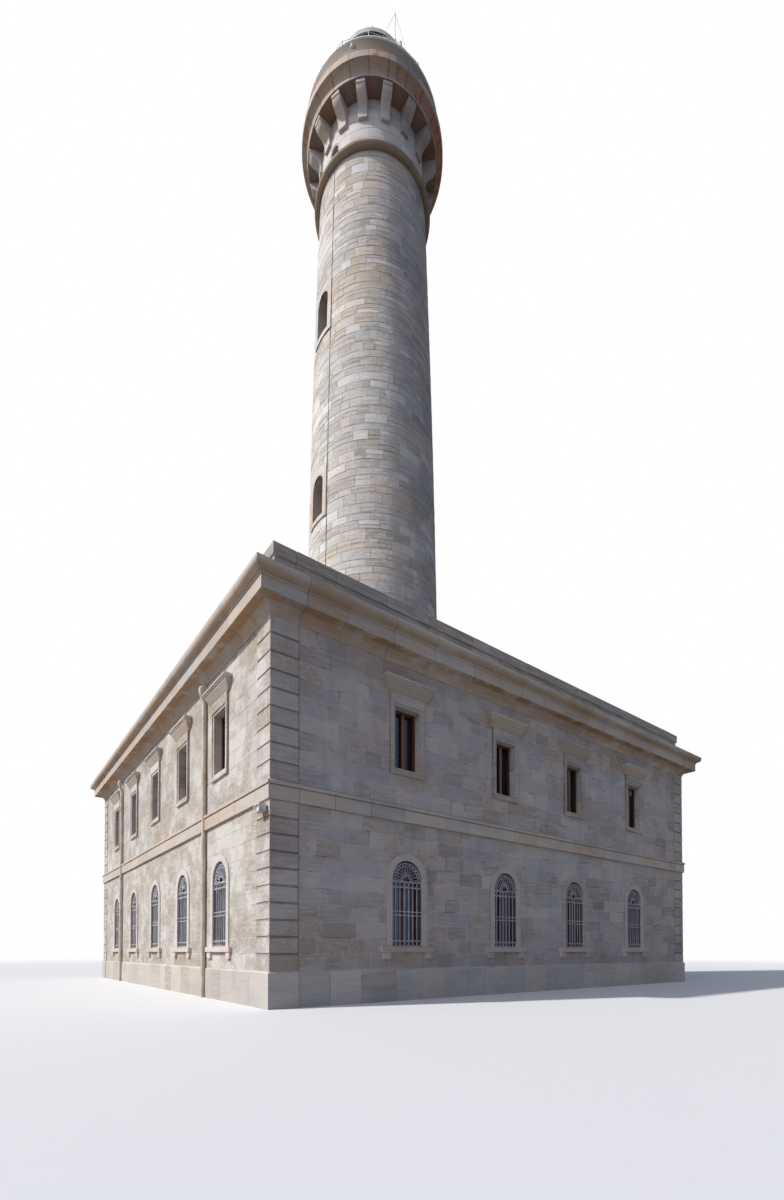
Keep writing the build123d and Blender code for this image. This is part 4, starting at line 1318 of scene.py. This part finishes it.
grille = window_grille()
grille_shape = vertex_spots(grille)
grille_spots = []
for turn, face, half_length, bays in sides.values():
    for bay in bays:
        grille_spots.append(turned_about(grille_shape + (bay, GRILLE_SET_BACK - face, grille_foot), turn))
finish_piece(copies("lower_window_grilles", grille, grille_spots), grille_metal)
bpy.data.objects.remove(grille)


# Panes behind the casements, each with its own place across its window

# How far inside a wall's face, and how far from its window's middle, a pane lies at most
PANE_DEPTH = 0.3
PANE_REACH = 0.32


def window_and_storey(middle):
    return window_bay(middle) + (middle.z < belt_foot,)


panes = surface_of("window_glass", "window_panes")
pane_values = {"across": [], "rise": [], "lower": [], "flank": []}
for x, y, z in vertex_spots(panes):
    flanking = abs(x) > wall_x - PANE_DEPTH and min(abs(abs(y) - bay) for bay in side_bays) < PANE_REACH
    along, out = (y, x) if flanking else (x, y)
    bay = min(side_bays if flanking else front_bays, key=lambda place: abs(place - along))
    hand = -1 if (out < 0) == flanking else 1
    downstairs = z < belt_foot
    _, foot, head = lower_window if downstairs else upper_window
    pane_values["across"].append(hand * (along - bay))
    pane_values["rise"].append((z - foot) / (head - foot))
    pane_values["lower"].append(downstairs)
    pane_values["flank"].append(flanking)
for key, values in pane_values.items():
    keep(panes.data, key, values, "POINT")
toned_by(panes, window_and_storey, 71)
finish_piece(panes, window_pane, ["window_glass"])


# A flat lightning strap down the tower

STRAP_TURN = 193
STRAP_WIDE = 0.012
STRAP_THICK = 0.008
STRAP_OUT = 0.014
STRAP_CUTS = 40
strap_size = (STRAP_WIDE, STRAP_THICK, shaft_top - SHAFT_BREAKS[0])
strap_place = (along_sheet(STRAP_TURN, SHEET_RADIUS), -STRAP_OUT, (SHAFT_BREAKS[0] + shaft_top) / 2)
strap = start_block("lightning_strap", strap_size, strap_place)
pick(strap, "EDGE", lambda a, b: abs(a.z - b.z) > 1)
bpy.ops.mesh.subdivide(number_cuts=STRAP_CUTS)
leave()
wrap_on_shaft(strap)
finish_piece(strap, strap_metal)


# Stones of the frieze drum under the corbels

DRUM_ROWS = 5
DRUM_LENGTHS = (0.30, 0.52)
DRUM_JOINT = 0.006
DRUM_WINDOW_TURN = 190
# The drum's window with its frame: half its width, its foot and its springing
DRUM_WINDOW = (0.165, drum_foot + 0.02, drum_foot + 0.42)
rng = random.Random(51)
drum_levels = [drum_foot + (drum_top - drum_foot) * row / DRUM_ROWS for row in range(DRUM_ROWS + 1)]
drum_places = coursed(math.pi * drum_radius, drum_levels, DRUM_LENGTHS, DRUM_JOINT, rng)
drum_places = [place + [rng.uniform(0.005, 0.008)] for place in drum_places]
drum_opening = DRUM_WINDOW + (along_sheet(DRUM_WINDOW_TURN, drum_radius), True)
drum_stone = model_stone("drum_stone", 3, 0.001, 5)
drum = cut_round("drum_stones", drum_stone, drum_places, [drum_opening], rng)
x, y, z = vertex_spots(drum).T
angle, reach = x / drum_radius, drum_radius - y
place_spots(drum, np.stack([reach * np.sin(angle), -reach * np.cos(angle), z], 1))
finish_piece(drum, drum_finish)
bpy.data.objects.remove(drum_stone)


# Tiles of the roof terrace

TILE_PITCH = 0.30
TILE_LENGTHS = (0.299, 0.301)
TILE_JOINT = 0.006
TOWER_CLEARANCE = 1.70
CORNER_CLEARANCE = 0.3


def on_terrace(place):
    """Whether a tile lies clear of the tower and of the parapet's corners."""
    x0, x1, y0, y1, _ = place
    by_end = min(abs(x0), abs(x1)) > deck_x - CORNER_CLEARANCE
    by_side = min(abs(y0), abs(y1)) > deck_y - CORNER_CLEARANCE
    clear = math.hypot((x0 + x1) / 2, (y0 + y1) / 2) > TOWER_CLEARANCE
    return clear and not (by_end and by_side)


rng = random.Random(61)
tile_rows = round(2 * deck_y / TILE_PITCH)
tile_levels = [-deck_y + 2 * deck_y * row / tile_rows for row in range(tile_rows + 1)]
tile_places = coursed(deck_x, tile_levels, TILE_LENGTHS, TILE_JOINT, rng)
tile_places = [place + [rng.uniform(0.008, 0.010)] for place in tile_places]
tile_stone = model_stone("tile_stone")
tiles = laid("roof_tiles", tile_stone, [place for place in tile_places if on_terrace(place)], rng, 0.0)
x, y, z = vertex_spots(tiles).T
place_spots(tiles, np.stack([x, z, deck_top - y], 1))
pick(tiles, "FACE")
bpy.ops.mesh.normals_make_consistent(inside=False)
leave()
finish_piece(tiles, roof_tile)
bpy.data.objects.remove(tile_stone)


# Finishes of the solids that stay

coat(["front_wall", "back_wall", "left_wall", "right_wall"], wall_core)
coat([side + "_wall_bays" for side in sides], wall_core)
coat(["tower_front_wall", "tower_back_wall", "tower_window_walls"], tower_mortar)
coat(["frieze_drum"], drum_mortar)
coat(["ground_floor", "upper_floor", "roof_deck"], floor_stone)
coat(["upper_casements", "lower_casements"], casement_wood)
coat(["window_glass"], window_pane)
coat(["tower_glass"], tower_pane)
coat(["lantern_glass"], lantern_glass)
coat(["downpipes"], pipe_metal)
coat(["roof_vent_pipe", "railing_posts", "railing_wires", "lantern_curb", "lantern_frame"], white_metal)
coat(["lantern_dome", "dome_finial", "corner_lamps", "gallery_fittings"], white_metal)
coat(["lantern_roof_edge"], eaves_metal)
